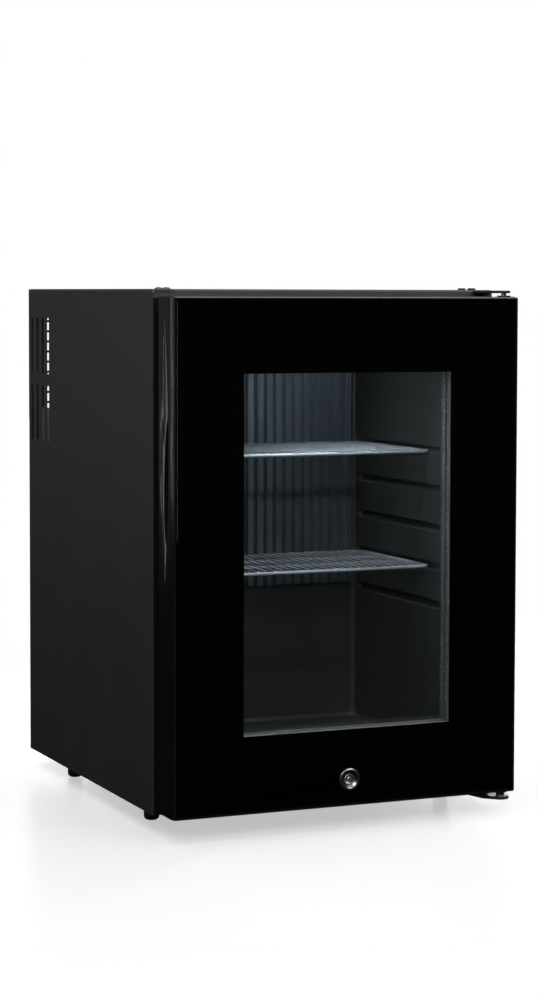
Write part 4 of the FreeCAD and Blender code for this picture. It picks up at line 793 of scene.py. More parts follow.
# %% Grille
gx0, gx1, gy0, gy1, gz0, gz1 = span("rear_grille")
ROWS, ROW_PITCH, ROW_HEIGHT, LOWEST_ROW = 10, 12.2, 9.4, gz0 + 9.0
MIDDLE_BAR, OPENING_END = 8.0, 180.0
openings = []
for row in range(ROWS):
    low = LOWEST_ROW + ROW_PITCH * row
    for side in (-1, 1):
        near, far = sorted((side * MIDDLE_BAR, side * OPENING_END))
        opening = block(near, far, gy0 - 2, gy1 + 2, low, low + ROW_HEIGHT)
        openings.append(softened(opening, 2.0, lambda e: runs(e, 1), 4))
grille = combined(softened(block(gx0, gx1, gy0, gy1, gz0, gz1), 1.2, lambda e: runs(e, 1), 3), openings)
softened(grille, 0.5, lambda e: min(v.co.y for v in e.verts) > gy1 - 0.1, 2)
placed("rear_grille_moulding", grille, grille_grain, "cabinet", ["rear_grille"])

# %% [markdown]
# ## Feet
# The feet are short rubber buffers, screwed up into the base through a hole in their middle. They are
# round, so spinning a profile is the natural way: one line drawn once, and every edge on it already
# rounded.

# %% Four feet
FOOT_ROUND = 4.5


def foot_profile(radius, high):
    """From the hole's mouth outwards, up the side with its groove, and back down through the hole."""
    turns = [math.radians(angle) for angle in range(0, 91, 15)]
    rounding = [(radius - FOOT_ROUND + FOOT_ROUND * math.sin(t), FOOT_ROUND - FOOT_ROUND * math.cos(t))
                for t in turns]
    side = [(radius, high - 3), (radius - 0.5, high - 2.4), (radius - 0.5, high - 1.6), (radius, high - 1.2),
            (radius, high - 0.2), (radius - 0.2, high)]
    hole = [(2.5, high), (2.5, 6.0), (3.4, 6.0), (3.4, 0.3)]
    return [(3.7, 0.0)] + rounding + side + hole


for corner in ("front_left", "front_right", "rear_left", "rear_right"):
    fx0, fx1, fy0, fy1, _, fz1 = span(f"foot_{corner}")
    middle, radius = ((fx0 + fx1) / 2, (fy0 + fy1) / 2, 0), (fx1 - fx0) / 2
    foot = turned(foot_profile(radius, fz1), middle, 2, 40, closed=True)
    placed(f"rubber_foot_{corner}", foot, rubber_foot, "cabinet", [f"foot_{corner}"])

# %% [markdown]
# ## Hinge plates
# Each hinge is a steel plate with a pin riveted through its round tip. The plates are punched from sheet,
# so their outline is all that matters: straight runs and one round nose. The punched edge is broken by a
# small bevel, which is what makes the black plate readable against the black door.

# %% Plates
pin = span("top_hinge_pin")
PIVOT_X, PIVOT_Y = (pin[0] + pin[1]) / 2, (pin[2] + pin[3]) / 2
TOP_TIP, TIP = 7.0, 9.5
PLATE_END = 198.0
STEP_X, STEP_DEEP = 176.6, 0.8
upper = span("top_hinge_bracket")
nose = arc(PIVOT_X, PIVOT_Y, TOP_TIP, 180, 360, 20)
upper_outline = [(upper[0], upper[3]), (upper[0], STEP_DEEP), (STEP_X, STEP_DEEP), (STEP_X, -STEP_DEEP)]
upper_outline += nose + [(PLATE_END, 0), (PLATE_END, upper[3])]
upper_plate = softened(prism(upper_outline, 2, upper[4], upper[5]), 0.5, steps=2, sharper=40)
placed("upper_hinge_plate", upper_plate, hinge_black, "cabinet", ["top_hinge_bracket"])

lower = span("bottom_hinge_bracket")
nose = arc(PIVOT_X, PIVOT_Y, TIP, 225, 360, 16)
lower_outline = [(lower[0], lower[3]), (lower[0], TIP), (lower[0] + TIP, 0)]
lower_outline += [(PIVOT_X - 2 * TIP, PIVOT_Y + TIP / 2)] + nose + [(PLATE_END, 0), (PLATE_END, lower[3])]
lower_plate = softened(prism(lower_outline, 2, lower[4], lower[5]), 0.6, steps=3, sharper=40)
placed("lower_hinge_plate", lower_plate, hinge_black, "cabinet", ["bottom_hinge_bracket"])

# %% [markdown]
# ## Plugs and pins
# On the left, plugs close the holes that would hold the hinge if the door were hung the other way round.
# They have a domed head on a stem. The pins are plain studs with eased ends, and a washer carries the
# door's weight. All are round, so all are turned.

# %% Domed plugs
DOME_RADIUS, STEM_RADIUS = 4.4, 2.4
plug_low, plug_high = span("hinge_hole_plugs")[4:]
dome = [(0, plug_high)]
for angle in range(15, 91, 15):
    t = math.radians(angle)
    dome.append((DOME_RADIUS * math.sin(t), z1 + (plug_high - z1) * math.cos(t)))
dome += [(STEM_RADIUS, z1), (STEM_RADIUS, plug_low), (0, plug_low)]
domes = [turned(dome, (-SCREW_X, y, 0), 2, 32) for y in SCREW_YS]
placed("hinge_hole_domes", together(domes), plug_black, "cabinet", ["hinge_hole_plugs"])

# %% Pins and washer
def pin_profile(low, high):
    return [(0, low), (2.4, low), (3.0, low + 0.6), (3.0, high - 0.3), (2.7, high), (0, high)]


for name in ("top_hinge_pin", "bottom_hinge_pin"):
    low, high = span(name)[4:]
    if name.startswith("bottom"):
        profile = [(r, low + high - h) for r, h in reversed(pin_profile(low, high))]
    else:
        profile = pin_profile(low, high)
    stud = turned(profile, (PIVOT_X, PIVOT_Y, 0), 2, 32)
    placed(f"{name}_turned", stud, pin_steel, "cabinet", [name])
low, high = span("hinge_washer")[4:]
washer = turned([(3.05, low), (4.4, low), (4.6, low + 0.3), (4.6, high - 0.4), (4.2, high), (3.05, high)],
                (PIVOT_X, PIVOT_Y, 0), 2, 32, closed=True)
placed("hinge_washer_turned", washer, pin_steel, "cabinet", ["hinge_washer"])

# %% [markdown]
# ## The liner
# The compartment is drawn from one heated plastic sheet over a mould. Its corners are round, and the
# shelf grooves in its side walls have soft lips. A block for the room and five wide ones, each for a
# groove in both walls, are welded into one cutter with rounded edges, and cut from a slightly larger
# copy.

# %% Liner
lx0, lx1, ly0, _, lz0, lz1 = span("inner_liner")
ROOM_X, ROOM_BACK, ROOM_LOW, ROOM_HIGH = 156.0, 260.0, 62.0, 536.0
ROOM_CORNER = 6.0
GROOVES = [391.0 - 43.5 * index for index in range(5)]
GROOVE_FRONT, GROOVE_BACK, GROOVE_DEEP, GROOVE_HIGH = 38.0, 252.0, 6.0, 9.0
WALL = 1.5


def room_form(extra, front):
    """The room with its grooves, larger by an extra on every side but the front."""
    half = ROOM_X + extra
    room = block(-half, half, front, ROOM_BACK + extra, ROOM_LOW - extra, ROOM_HIGH + extra)
    softened(room, ROOM_CORNER + extra,
             lambda e: runs(e, 1) or min(v.co.y for v in e.verts) > ROOM_BACK - 1, 6)
    lanes = []
    for low in GROOVES:
        lane = block(-half - GROOVE_DEEP, half + GROOVE_DEEP, GROOVE_FRONT - extra, GROOVE_BACK + extra,
                     low - extra, low + GROOVE_HIGH + extra)
        lanes.append(softened(lane, 1.6, lambda e: all(abs(v.co.x) > half + 5 for v in e.verts), 3))
    return combined(room, lanes, "UNION")


shell = room_form(WALL, 0.6)
rim_plate = softened(block(lx0, lx1, ly0, ly0 + WALL, lz0, lz1), 2.0, lambda e: runs(e, 1), 3)
shell = combined(shell, [rim_plate], "UNION")
cold_block_hole = block(-30.2, 30.2, 255, 270, 319.8, 380.2)
liner = combined(shell, [room_form(0, -3.0), cold_block_hole])


def groove_lip(edge):
    return all(abs(abs(v.co.x) - ROOM_X) < 0.3 and GROOVE_FRONT - 1 < v.co.y < GROOVE_BACK + 1
               for v in edge.verts)


def mouth(edge):
    return all(v.co.y < ly0 + 0.1 and abs(v.co.x) < ROOM_X + 0.1 for v in edge.verts)


softened(liner, 1.2, groove_lip, 3)
softened(liner, 1.0, mouth, 3)
placed("inner_liner_drawn", liner, liner_grain, "cabinet", ["inner_liner"])

# %% [markdown]
# ## The cold plate
# On the back wall of the compartment stands the plate that takes the heat away. It is an extrusion with
# upright ribs. Its cross-section is drawn as one line with rounded rib tips, and drawn out upwards.

# %% Cold plate
cx0, cx1, cy0, cy1, cz0, cz1 = span("cold_plate")
RIB, RIB_PITCH, RIB_HEIGHT = 1.6, 12.0, 9.0
ribs = int(cx1 / RIB_PITCH)
outline = [(cx0, cy1), (cx0, cy0 + RIB_HEIGHT)]
for index in range(-ribs, ribs + 1):
    middle = index * RIB_PITCH
    if abs(middle) + RIB < cx1:
        foot = [(middle - RIB / 2 - 0.8, cy0 + RIB_HEIGHT), (middle - RIB / 2 - 0.2, cy0 + RIB_HEIGHT - 0.6)]
        tip = arc(middle, cy0 + RIB / 2, RIB / 2, 180, 360, 6)
        outline += foot + tip + [(2 * middle - x, y) for x, y in reversed(foot)]
outline += [(cx1, cy0 + RIB_HEIGHT), (cx1, cy1)]
cold = prism(outline, 2, cz0, cz1)
placed("cold_plate_extrusion", cold, cold_anodised, "cabinet", ["cold_plate"])

# %% [markdown]
# ## Wire shelves
# A shelf is a loop of thick wire, two bars across and twenty-nine thin wires on top, all welded. The loop
# has round corners, so it is swept along a line with arcs, and the straight wires are rods with soft
# ends.

# %% Shelves
def round_rectangle(half, front, rear, radius, z):
    corners = [(half - radius, front + radius, -90), (half - radius, rear - radius, 0),
               (-half + radius, rear - radius, 90), (-half + radius, front + radius, 180)]
    points = []
    for cx, cy, start in corners:
        points += [(x, y, z) for x, y in arc(cx, cy, radius, start, start + 90, 8)]
    return points


LOOP_WIRE, BAR_WIRE, THIN_WIRE = 2.0, 1.8, 0.9
LOOP_CORNER, WIRE_PITCH, SOLID_WIRE = 8.0, 10.4, 2.6
for name, body in (("shelf_upper", "upper_shelf"), ("shelf_lower", "lower_shelf")):
    _, sx1, sy0, sy1, sz0, sz1 = span(name)
    z = sz0 + LOOP_WIRE
    half, front, rear = sx1 - LOOP_WIRE, sy0 + LOOP_WIRE, sy1 - LOOP_WIRE
    parts = [flat_loop(round_rectangle(half, front, rear, LOOP_CORNER, z), LOOP_WIRE)]
    for share in (1 / 3, 2 / 3):
        y = front + (rear - front) * share
        parts.append(rod((-half + 0.5, y, z), (half - 0.5, y, z), BAR_WIRE))
    for index in range(-14, 15):
        x, z_thin = index * WIRE_PITCH, sz1 - SOLID_WIRE + THIN_WIRE
        parts.append(rod((x, front - 0.8, z_thin), (x, rear + 0.8, z_thin), THIN_WIRE))
    placed(f"{name}_wires", together(parts), shelf_enamel, body, [name], smooth=60)

# %% [markdown]
# ## Light and thermostat unit
# A shallow box under the ceiling holds the lamps, the thermostat and the door switch. It is one moulding
# with openings for a window, a knob and a rocker. A hollowed block with rounded edges does, and its
# openings are measured from the pieces that fill them.

# %% Housing
hx0, hx1, hy0, hy1, hz0, hz1 = span("light_housing")
lens = span("light_lens")
knob = span("thermostat_knob")
rocker = span("light_switch_rocker")
KNOB_X, KNOB_Z = (knob[0] + knob[1]) / 2, (knob[4] + knob[5]) / 2
ROCKER_X = (rocker[0] + rocker[1]) / 2
CASE_WALL, LENS_LEDGE = 2.0, 1.8
SHAFT_HOLE, ROCKER_HALF_WIDE, ROCKER_HALF_HIGH = 3.05, 5.9, 7.8
case = block(hx0, hx1, hy0, hy1, hz0, hz1)
softened(case, 2.0, lambda e: min(v.co.z for v in e.verts) < hz1 - 1, 4)
holes = [block(hx0 + CASE_WALL, hx1 - CASE_WALL, hy0 + CASE_WALL, hy1 - CASE_WALL, hz0 + CASE_WALL, hz1 + 2),
         block(lens[0] + LENS_LEDGE, lens[1] - LENS_LEDGE, lens[2] + LENS_LEDGE, lens[3] - LENS_LEDGE,
               hz0 - 2, hz0 + 4),
         prism(arc(KNOB_X, KNOB_Z, SHAFT_HOLE, 0, 345, 23), 1, hy0 - 2, hy0 + 4),
         block(ROCKER_X - ROCKER_HALF_WIDE, ROCKER_X + ROCKER_HALF_WIDE, hy0 - 2, hy0 + 4,
               KNOB_Z - ROCKER_HALF_HIGH, KNOB_Z + ROCKER_HALF_HIGH)]
case = combined(case, holes)
placed("light_housing_moulding", case, inner_satin, "cabinet", ["light_housing"])

# %% [markdown]
# ## The knob
# The knob is turned, with twelve hollows that the fingers hold. They could be cut one by one, but here the
# radius itself dips twelve times while the profile is spun. A short groove in the face is the pointer.

# %% Knob
FLUTES, FLUTE_DEEP = 12, 1.1
KNOB_RADIUS, SHAFT_RADIUS = 8.5, 3.0


def fluted(radius, height, angle):
    dip = max(0.0, math.cos(FLUTES * angle + math.pi)) ** 3
    deep = FLUTE_DEEP if height < knob[2] + 8.0 and radius > 7 else 0.0
    return radius - deep * dip


front, back = knob[2], knob[2] + 9.0
profile = [(0, front + 0.3), (4.0, front + 0.2), (7.3, front), (8.1, front + 0.35),
           (KNOB_RADIUS, front + 1.1), (KNOB_RADIUS, back - 1.4), (KNOB_RADIUS, back - 0.4), (8.2, back),
           (SHAFT_RADIUS, back), (SHAFT_RADIUS, knob[3] - 0.4), (2.6, knob[3]), (0, knob[3])]
dial = turned(profile, (KNOB_X, 0, KNOB_Z), 1, 144, flutes=fluted)
pointer = block(KNOB_X - 0.55, KNOB_X + 0.55, front - 1, front + 0.7, KNOB_Z + 2.2, KNOB_Z + 7.0)
dial = combined(dial, [softened(pointer, 0.4, lambda e: runs(e, 1), 3)])
placed("thermostat_knob_fluted", dial, knob_black, "knob", ["thermostat_knob"])

# %% [markdown]
# ## The door's frame
# The frame is one black moulding. From the front only a thin lip of it shows round the glass. Its room
# for the panes, the window, the lock's bore and the chambers behind are blocks and prisms, cut out in one
# go. A ring cut off the outside makes the rim lean in a little, and another leaves a fine groove behind
# it.

# %% Frame
dx0, dx1, dy0, dy1, dz0, dz1 = span("door_frame")
RIM_LEAN, RIM_DEEP, RIM_LIP = 0.8, 9.0, 3.2
LEDGE_FRONT, LEDGE_BACK = dy0 + 4.3, dy0 + 6.8
LOCK_BORE, BUSH_BORE, BUSH_DEEP = 9.8, 5.0, 16.0
rim_profile = [(0, dy0 + RIM_DEEP), (1, dy0), (1, dy0 - 1), (-1, dy0 - 1), (-1, dy0 + RIM_DEEP)]
outer = combined(block(dx0, dx1, dy0, dy1, dz0, dz1), [mitred_ring(
    rim_profile, (dx0, dx1, dz0, dz1), (dx0 + RIM_LEAN, dx1 - RIM_LEAN, dz0 + RIM_LEAN, dz1 - RIM_LEAN))])
softened(outer, 2.0, lambda e: runs(e, 1), 4)
softened(outer, 0.8, lambda e: max(v.co.y for v in e.verts) < dy0 + 0.1, 2)
groove = mitred_ring([(0, dy0 + 8.0), (1, dy0 + 8.25), (1, dy0 + 8.75), (0, dy0 + RIM_DEEP)],
                     (dx0 - 1, dx1 + 1, dz0 - 1, dz1 + 1), (dx0 + 0.7, dx1 - 0.7, dz0 + 0.7, dz1 - 0.7))
window = (-134.7, 134.7, 93.3, 502.2)
chambers = [(-197.5, -136.0, 28.5, 255.0), (-197.5, -136.0, 499.0, 565.3), (-174.0, -136.7, 254.0, 500.0),
            (136.7, 197.5, 44.5, 549.3), (-137.5, 180.5, 504.2, 565.3), (-137.5, 180.5, 28.5, 91.3)]
cutters = [groove, block(dx0 + RIM_LIP, dx1 - RIM_LIP, dy0 - 2, LEDGE_FRONT, dz0 + RIM_LIP, dz1 - RIM_LIP),
           block(window[0], window[1], dy0 - 2, dy1 + 2, window[2], window[3]),
           prism(arc(LOCK_X, LOCK_Z, LOCK_BORE, 0, 352.5, 47), 1, LEDGE_FRONT - 2, LEDGE_BACK + 2)]
cutters += [block(left, right, LEDGE_BACK, dy1 + 2, low, high) for left, right, low, high in chambers]
for low, high in ((dz0 - 2, dz0 + BUSH_DEEP), (dz1 - BUSH_DEEP, dz1 + 2)):
    cutters.append(prism(arc(PIVOT_X, PIVOT_Y, BUSH_BORE, 0, 345, 23), 2, low, high))
print("the frame's cutters:", len(cutters))

# %% [markdown]
# ## The grip
# The frame's left side is the most shaped part of the whole fridge: a long shallow dish, and a deep
# pocket in it for the fingertips. The dish slopes gently in from the rear edge and then turns back, and
# it runs out to a point above and below. So its cutter is a three-cornered section that shrinks towards
# both ends. An egg-shaped cutter makes the pocket.

# %% Dish and pocket
GRIP_Z = dz0 + 352.0
DISH_LOW, DISH_HIGH, DISH_DEEP = dz0 + 243.0, dz0 + 523.0, 4.4
POCKET_DEEP, POCKET_HALF_WIDE, POCKET_HALF_HIGH = 22.0, 8.9, 70.0


def dish(sections=48):
    """A section with its deep line towards the front, that shrinks to nothing at both ends."""
    rear, deep, front = dy1 - 0.5, dy1 - 17.5, dy1 - 28.0
    verts = []
    for i in range(sections + 1):
        share = 2 * i / sections - 1
        size = max(1 - share * share, 0.004)
        z = (DISH_LOW + DISH_HIGH) / 2 + share * (DISH_HIGH - DISH_LOW) / 2
        ends = [deep + (y - deep) * size for y in (rear, front)]
        floor_line = [(dx0 + DISH_DEEP * size * share_deep, deep + (y - deep) * size)
                      for share_deep, y in ((0.97, deep + 1.8), (1.0, deep), (0.93, deep - 2.0))]
        line = [(dx0 - 1.0, ends[0]), (dx0, ends[0])] + floor_line + [(dx0, ends[1]), (dx0 - 1.0, ends[1])]
        verts += [(x, y, z) for x, y in line]
    n = len(line)
    faces = [tuple(range(n)), tuple(range(len(verts) - n, len(verts)))]
    for i in range(sections):
        here, there = i * n, (i + 1) * n
        faces += [(here + k, here + (k + 1) % n, there + (k + 1) % n, there + k) for k in range(n)]
    return as_bmesh(verts, faces)


def pocket_rim(edge):
    return all(v.co.x < dx0 + 5.4 and abs(v.co.z - GRIP_Z) < POCKET_HALF_HIGH + 2 and v.co.y < dy1 - 2.5
               for v in edge.verts)


pocket = egg(dx0, dy1 - 18.8, GRIP_Z, POCKET_DEEP, POCKET_HALF_WIDE, POCKET_HALF_HIGH)
door = combined(outer, cutters)
door = combined(door, [dish(), pocket])
softened(door, 0.7, pocket_rim, 3, sharper=18)
placed("door_frame_moulding", door, frame_gloss, "door", ["door_frame"], smooth=40)

# %% [markdown]
# ## Glass
# The outer pane covers almost the whole front. Its rim is ground to a bevel, and that bevel is the thin
# bright line round the door. The black border isn't paint on the outside: it is fired onto the back of the
# pane, so the front stays one unbroken mirror. The other panes are cut plain, and only their corners are
# eased. The panes cast no shadow, because a ray that looks for a light stops after a few clear layers, and
# the compartment behind three panes would stay dark.

# %% Three panes
px0, px1, py0, py1, pz0, pz1 = span("door_glass_outer")
GROUND_BEVEL = 1.3
front_pane = block(px0, px1, py0, py1, pz0, pz1)
softened(front_pane, GROUND_BEVEL, lambda e: max(v.co.y for v in e.verts) < py0 + 0.5, 1)
front_pane = combined(front_pane, [prism(arc(LOCK_X, LOCK_Z, LOCK_BORE, 0, 352.5, 47), 1, py0 - 2, py1 + 2)])
panes = [placed("outer_pane", front_pane, outer_glass, "door", ["door_glass_outer"])]
for name in ("door_glass_middle", "door_glass_inner"):
    sheet_form = softened(block(*span(name)), 0.5, steps=2)
    panes.append(placed(f"{name}_pane", sheet_form, inner_glass, "door", [name]))
for pane in panes:
    pane.visible_shadow = False

# %% [markdown]
# ## The inner frame
# Behind the glass a second moulding closes the door. Its collar reaches forward and presses the inner pane
# against the bars. It is one cross-section run round a rectangle, with a slot for the lock's cam below.

# %% Inner frame
ix0, ix1, iy0, iy1, iz0, iz1 = span("door_inner_frame")
outer_line, inner_line = (ix0, ix1, iz0, iz1), (-130.0, 130.0, 98.0, 497.5)
profile = [(0, iy1 - 2.0), (0, iy1 - 0.7), (0.004, iy1 - 0.2), (0.012, iy1), (0.86, iy1), (0.875, iy1),
           (0.985, iy1), (0.995, iy1 - 0.3), (1.0, iy1 - 1.0), (1.0, iy0), (0.937, iy0), (0.937, iy1 - 2.0)]
inner_moulding = mitred_ring(profile, outer_line, inner_line)
slot_cut = block(-13.0, 13.0, iy1 - 5, iy1 + 3, 28.5, 37.0)
inner_moulding = combined(inner_moulding, [softened(slot_cut, 1.5, lambda e: runs(e, 1), 4)])
placed("inner_frame_moulding", inner_moulding, inner_satin, "door", ["door_inner_frame"])

# %% [markdown]
# ## The gasket
# The gasket snaps into the inner frame: a soft bar with a narrow waist, mitred and welded at its four
# corners. Half of its section is drawn and mirrored, and the whole is run round the door like a picture
# frame.

# %% Gasket
qx0, qx1, _, _, qz0, qz1 = span("door_gasket")
SEAL = 16.0
section = [(0.0, 0.2), (0.2, 0.9), (1.2, 2.2), (3.4, 2.7), (4.3, 3.6), (3.4, 5.4), (3.3, 7.0), (4.2, 9.0),
           (3.6, 10.2), (1.5, 10.7), (1.0, 11.4), (1.0, 14.0), (1.3, 14.9), (2.2, 15.4), (5.0, 15.6)]
section += [(SEAL - across, along) for across, along in reversed(section)]
profile = [(across / SEAL, along - SEAL) for across, along in section]
seal = mitred_ring(profile, (qx0, qx1, qz0, qz1), (qx0 + SEAL, qx1 - SEAL, qz0 + SEAL, qz1 - SEAL))
placed("door_gasket_soft", seal, gasket_rubber, "door", ["door_gasket"], smooth=50)

# %% [markdown]
# ## The lock
# A round cam lock sits below the window. Its flange is turned with a shallow dish, and the plug in its
# middle has the ring-shaped keyway of a tubular key, with a notch that lets the key in one way round
# only.

# %% Flange and plug
face = lock_box[2]
flange_profile = [(9.5, face + 2.0), (12.3, face + 2.0), (12.5, face + 1.8), (12.5, face + 1.1),
                  (12.15, face + 0.45), (11.4, face + 0.08), (10.9, face), (9.3, face), (8.9, face + 0.1),
                  (8.4, face + 0.4), (6.5, face + 1.5), (6.1, face + 1.8), (6.05, face + 2.4),
                  (6.05, lock_box[3]), (9.5, lock_box[3])]
flange = turned(flange_profile, (LOCK_X, 0, LOCK_Z), 1, 72, closed=True)
placed("lock_flange", flange, lock_chrome, "door", ["lock_housing"])

plug_box = span("lock_plug")
start = plug_box[2]
plug_profile = [(0, start), (2.5, start), (2.9, start + 0.35), (2.9, start + 6.8), (4.8, start + 6.8),
                (4.8, start + 0.3), (5.0, start), (5.75, start), (6.0, start + 0.3),
                (6.0, plug_box[3]), (0, plug_box[3])]
plug = turned(plug_profile, (LOCK_X, 0, LOCK_Z), 1, 72)
notch = block(LOCK_X - 0.8, LOCK_X + 0.8, start - 1, start + 3.4, LOCK_Z + 2.7, LOCK_Z + 5.5)
placed("lock_plug_turned", combined(plug, [notch]), plug_chrome, "lock", ["lock_plug"])

# %% [markdown]
# ## Finishes for the pieces that keep their solid
# Everything else is already the right shape: sheets, screws, pipes, boards, foam. Only the plain grey of
# the CAD solid has to go, so each gets its finish through its own material slots.

# %% Dress the solids
kept = {
    "base_plate": coat_black, "foam_bulkhead": galvanised, "strike_plate": hinge_black,
    "small_screws": screw_black, "hinge_screws": screw_black, "hinge_slot_blank": plug_black,
    "sink_screws": screw_zinc, "foot_screws": screw_zinc, "cam_screw": screw_zinc,
    "lock_nut": screw_zinc, "lock_cam": screw_zinc,
    "hinge_bush_top": nylon_black, "hinge_bush_bottom": nylon_black,
    "insulation_foam": foam_yellow, "door_foam": foam_yellow, "gasket_magnet": magnet,
    "glass_border_print": border_enamel, "spacer_front": spacer_bar, "spacer_rear": spacer_bar,
    "cold_block": block_cast, "thermoelectric_module": ceramic, "heat_sink_base": block_cast,
    "heat_pipes": copper, "heat_sink_fins": fin_sheet, "module_leads": lead_red,
    "control_box": case_grey, "circuit_board": board_green, "power_inlet": grille_grain,
    "light_lens": lens_frost, "led_board": lamp_board, "thermostat": case_grey,
    "switch_case": plug_black, "light_switch_rocker": knob_black,
}
for name, finish in kept.items():
    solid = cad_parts[name]
    if not solid.material_slots:
        solid.data.materials.append(finish)
    for holder_slot in solid.material_slots:
        holder_slot.material = finish
print("solids dressed:", len(kept))

# %% [markdown]
# ## The floor
# The photograph is a studio shot on white. A floor that ran to the horizon would turn grey behind the
# fridge, so it is a disc that fades away into the white surround and only keeps the shadow. Glossy rays
# pass through it, or its white would lie as a grey haze on the black glass and paint.

# %% Floor
FLOOR_RADIUS = 2600.0
FADE_START, FADE_END = 200.0, 1500.0


def fading_floor():
    finish = Finish("studio_floor")
    radius = finish.node("ShaderNodeVectorMath", {"operation": "LENGTH"}, [finish.place], out="Value")
    fade = finish.node("ShaderNodeMapRange", {"interpolation_type": "SMOOTHSTEP"},
                       {0: radius, 1: FADE_START * MM, 2: FADE_END * MM, 3: 0.5, 4: 1.0})
    mirrored = finish.node("ShaderNodeLightPath", out="Is Glossy Ray")
    unseen = finish.node("ShaderNodeMath", {"operation": "MAXIMUM"}, [fade, mirrored])
    pale = finish.node("ShaderNodeBsdfPrincipled", values={
        "Base Color": (0.62, 0.62, 0.62, 1), "Roughness": 0.32, "Specular IOR Level": 0.35})
    clear = finish.node("ShaderNodeBsdfTransparent")
    finish.node_out(finish.node("ShaderNodeMixShader", values=[unseen, pale, clear]))
    return finish.material


disc = bmesh.new()
bmesh.ops.create_circle(disc, cap_ends=True, segments=96, radius=FLOOR_RADIUS)
bmesh.ops.transform(disc, matrix=Matrix.Scale(MM, 4), verts=disc.verts)
floor = holder(disc, "studio_floor")
floor.data.materials.append(fading_floor())
print("floor radius in metres:", FLOOR_RADIUS * MM)

# %% [markdown]
# ## The surround
# The surround is pure white to the camera, but lights the black fridge only softly, as dark cloths beside
# the camera do in a studio, or the front would look grey. One shader can't do both, so a mix asks what
# kind of ray is looking: the camera's own rays see white, and all others see a dim sky that is brighter
# behind and above.

# %% Surround
world = bpy.data.worlds.new("white_surround")
bpy.context.scene.world = world
world.use_nodes = True
tree = world.node_tree
tree.nodes.clear()


def sky_node(kind, values=(), **settings):
    made = tree.nodes.new(kind)
    for key, value in settings.items():
        setattr(made, key, value)
    for key, value in dict(values).items():
        if isinstance(value, bpy.types.NodeSocket):
            tree.links.new(value, made.inputs[key])
        else:
            made.inputs[key].default_value = value
    return made


way = sky_node("ShaderNodeSeparateXYZ", {0: sky_node("ShaderNodeTexCoord").outputs["Generated"]})
soft = {"interpolation_type": "SMOOTHSTEP"}
behind = sky_node("ShaderNodeMapRange", {0: way.outputs["Y"], 1: -0.2, 2: 0.6, 3: 0.01, 4: 0.08}, **soft)
level = sky_node("ShaderNodeMapRange", {0: way.outputs["Z"], 1: -0.13, 2: -0.05, 3: 0.05, 4: 1.0}, **soft)
above = sky_node("ShaderNodeMapRange", {0: way.outputs["Z"], 1: 0.25, 2: 0.9, 3: 0.0, 4: 0.5}, **soft)
dim = sky_node("ShaderNodeMath", {0: behind.outputs[0], 1: level.outputs[0], 2: above.outputs[0]},
               operation="MULTIPLY_ADD")
unseen = sky_node("ShaderNodeBackground", {"Color": (0.94, 0.97, 1.0, 1), "Strength": dim.outputs[0]})
seen = sky_node("ShaderNodeBackground", {"Color": (1, 1, 1, 1), "Strength": 1.0})
ray = sky_node("ShaderNodeLightPath")
chooser = sky_node("ShaderNodeMixShader", {
    0: ray.outputs["Is Camera Ray"], 1: unseen.outputs[0], 2: seen.outputs[0]})
sky_node("ShaderNodeOutputWorld", {"Surface": chooser.outputs[0]})
bpy.context.scene.view_settings.view_transform = "Standard"
print("surround ready, with", len(tree.nodes), "nodes")

# %% [markdown]
# ## Lights
# Soft boxes light the fridge, and black gloss shows each of them as a mirror image. So every one stands
# where the glass front doesn't mirror it into the camera: high up, far to one side, or behind. Narrow
# ones draw the soft gradient on the left side, and a small one stands for the lamps behind the lens
# inside.

# %% Soft boxes
def soft_box(name, place, target, width, height, watts, colour=(1, 1, 1)):
    lamp = bpy.data.lights.new(name, "AREA")
    lamp.shape, lamp.size, lamp.size_y, lamp.energy, lamp.color = "RECTANGLE", width, height, watts, colour
    made = bpy.data.objects.new(name, lamp)
    bpy.context.scene.collection.objects.link(made)
    made.location = place
    made.rotation_euler = (Vector(target) - Vector(place)).to_track_quat("-Z", "Y").to_euler()
    return made


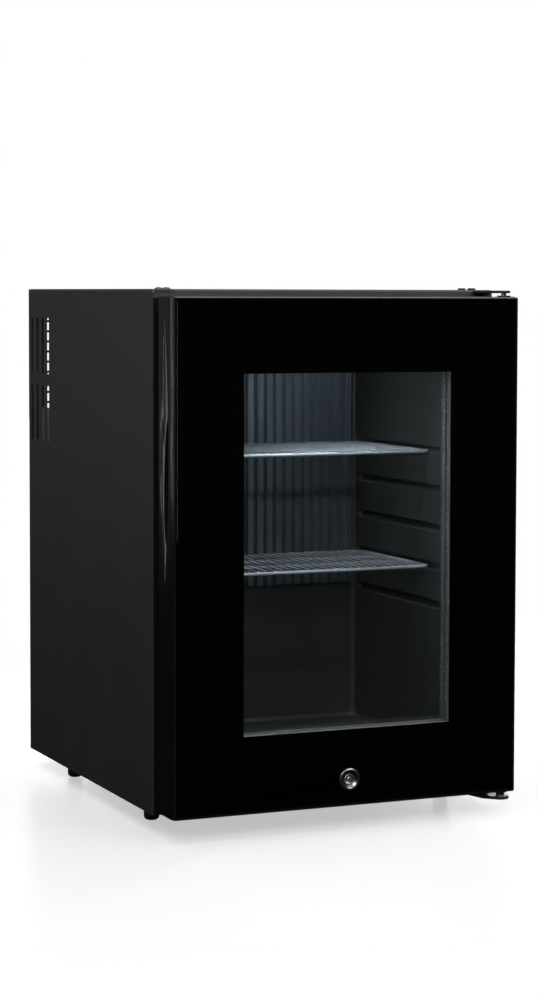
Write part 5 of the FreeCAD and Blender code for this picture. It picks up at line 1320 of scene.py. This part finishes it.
middle_of_fridge = (0, 0, 0.3)
soft_box("overhead", (0, 0.1, 3.2), middle_of_fridge, 4.0, 4.0, 118)
soft_box("front_left", (-1.4, -2.9, 2.1), (0, -0.2, 0.35), 1.8, 1.8, 92)
soft_box("high_front", (1.3, -2.9, 1.75), (0, -0.2, 0.5), 1.6, 1.2, 50)
soft_box("left_front_strip", (-2.7, -1.3, 0.9), (-0.2, -0.2, 0.3), 0.8, 1.8, 4)
soft_box("left_rear_strip", (-2.55, 1.75, 0.9), (-0.2, -0.2, 0.3), 0.6, 1.8, 5)
soft_box("far_rear_strip", (-2.3, 3.1, 1.0), (-0.2, 0.0, 0.3), 0.25, 2.0, 1.4)
soft_box("right_wall", (2.4, 0.9, 0.9), middle_of_fridge, 0.8, 1.6, 16)
soft_box("behind", (0.9, 3.0, 0.32), (0, 0.2, 0.32), 2.2, 0.4, 20)
inside = to_frame(0, 45, lens[4] - 0.6)
soft_box("lamps_of_the_lens", inside, inside - Vector((0, -0.02, 0.1)), 0.044, 0.022, 1.3, (0.93, 0.97, 1.0))

# %% [markdown]
# ## The camera
# The camera stands where the photograph was taken. Its place, its turn and its lens were found from the
# cabinet's own edges: only from one place do edges of these lengths fall on the photograph's. The picture
# was cropped off its centre, so the lens is shifted a little.

# %% Camera
EYE = (-1103.39, -2419.01, 571.87)
YAW, PITCH, ROLL = math.radians(23.8033), math.radians(3.4788), math.radians(0.1606)
FOCAL, SENSOR, SHIFT = 88.72, 36.0, (-0.02737, -0.05698)
forward = Vector((math.sin(YAW) * math.cos(PITCH), math.cos(YAW) * math.cos(PITCH), -math.sin(PITCH)))
right = forward.cross(Vector((0, 0, 1))).normalized()
up = right.cross(forward)
roll = Matrix.Rotation(-ROLL, 3, forward)
right, up = roll @ right, roll @ up
lens_data = bpy.data.cameras.new("photo_camera")
lens_data.lens, lens_data.sensor_width = FOCAL, SENSOR
lens_data.shift_x, lens_data.shift_y = SHIFT
camera = bpy.data.objects.new("photo_camera", lens_data)
bpy.context.scene.collection.objects.link(camera)
turn = Matrix((right, up, -forward)).transposed().to_4x4()
camera.matrix_world = Matrix.Translation(to_frame(*EYE)) @ turn
bpy.context.scene.camera = camera
print("camera", round(lens_data.lens, 2), "mm, stands at", [round(v, 3) for v in camera.location])
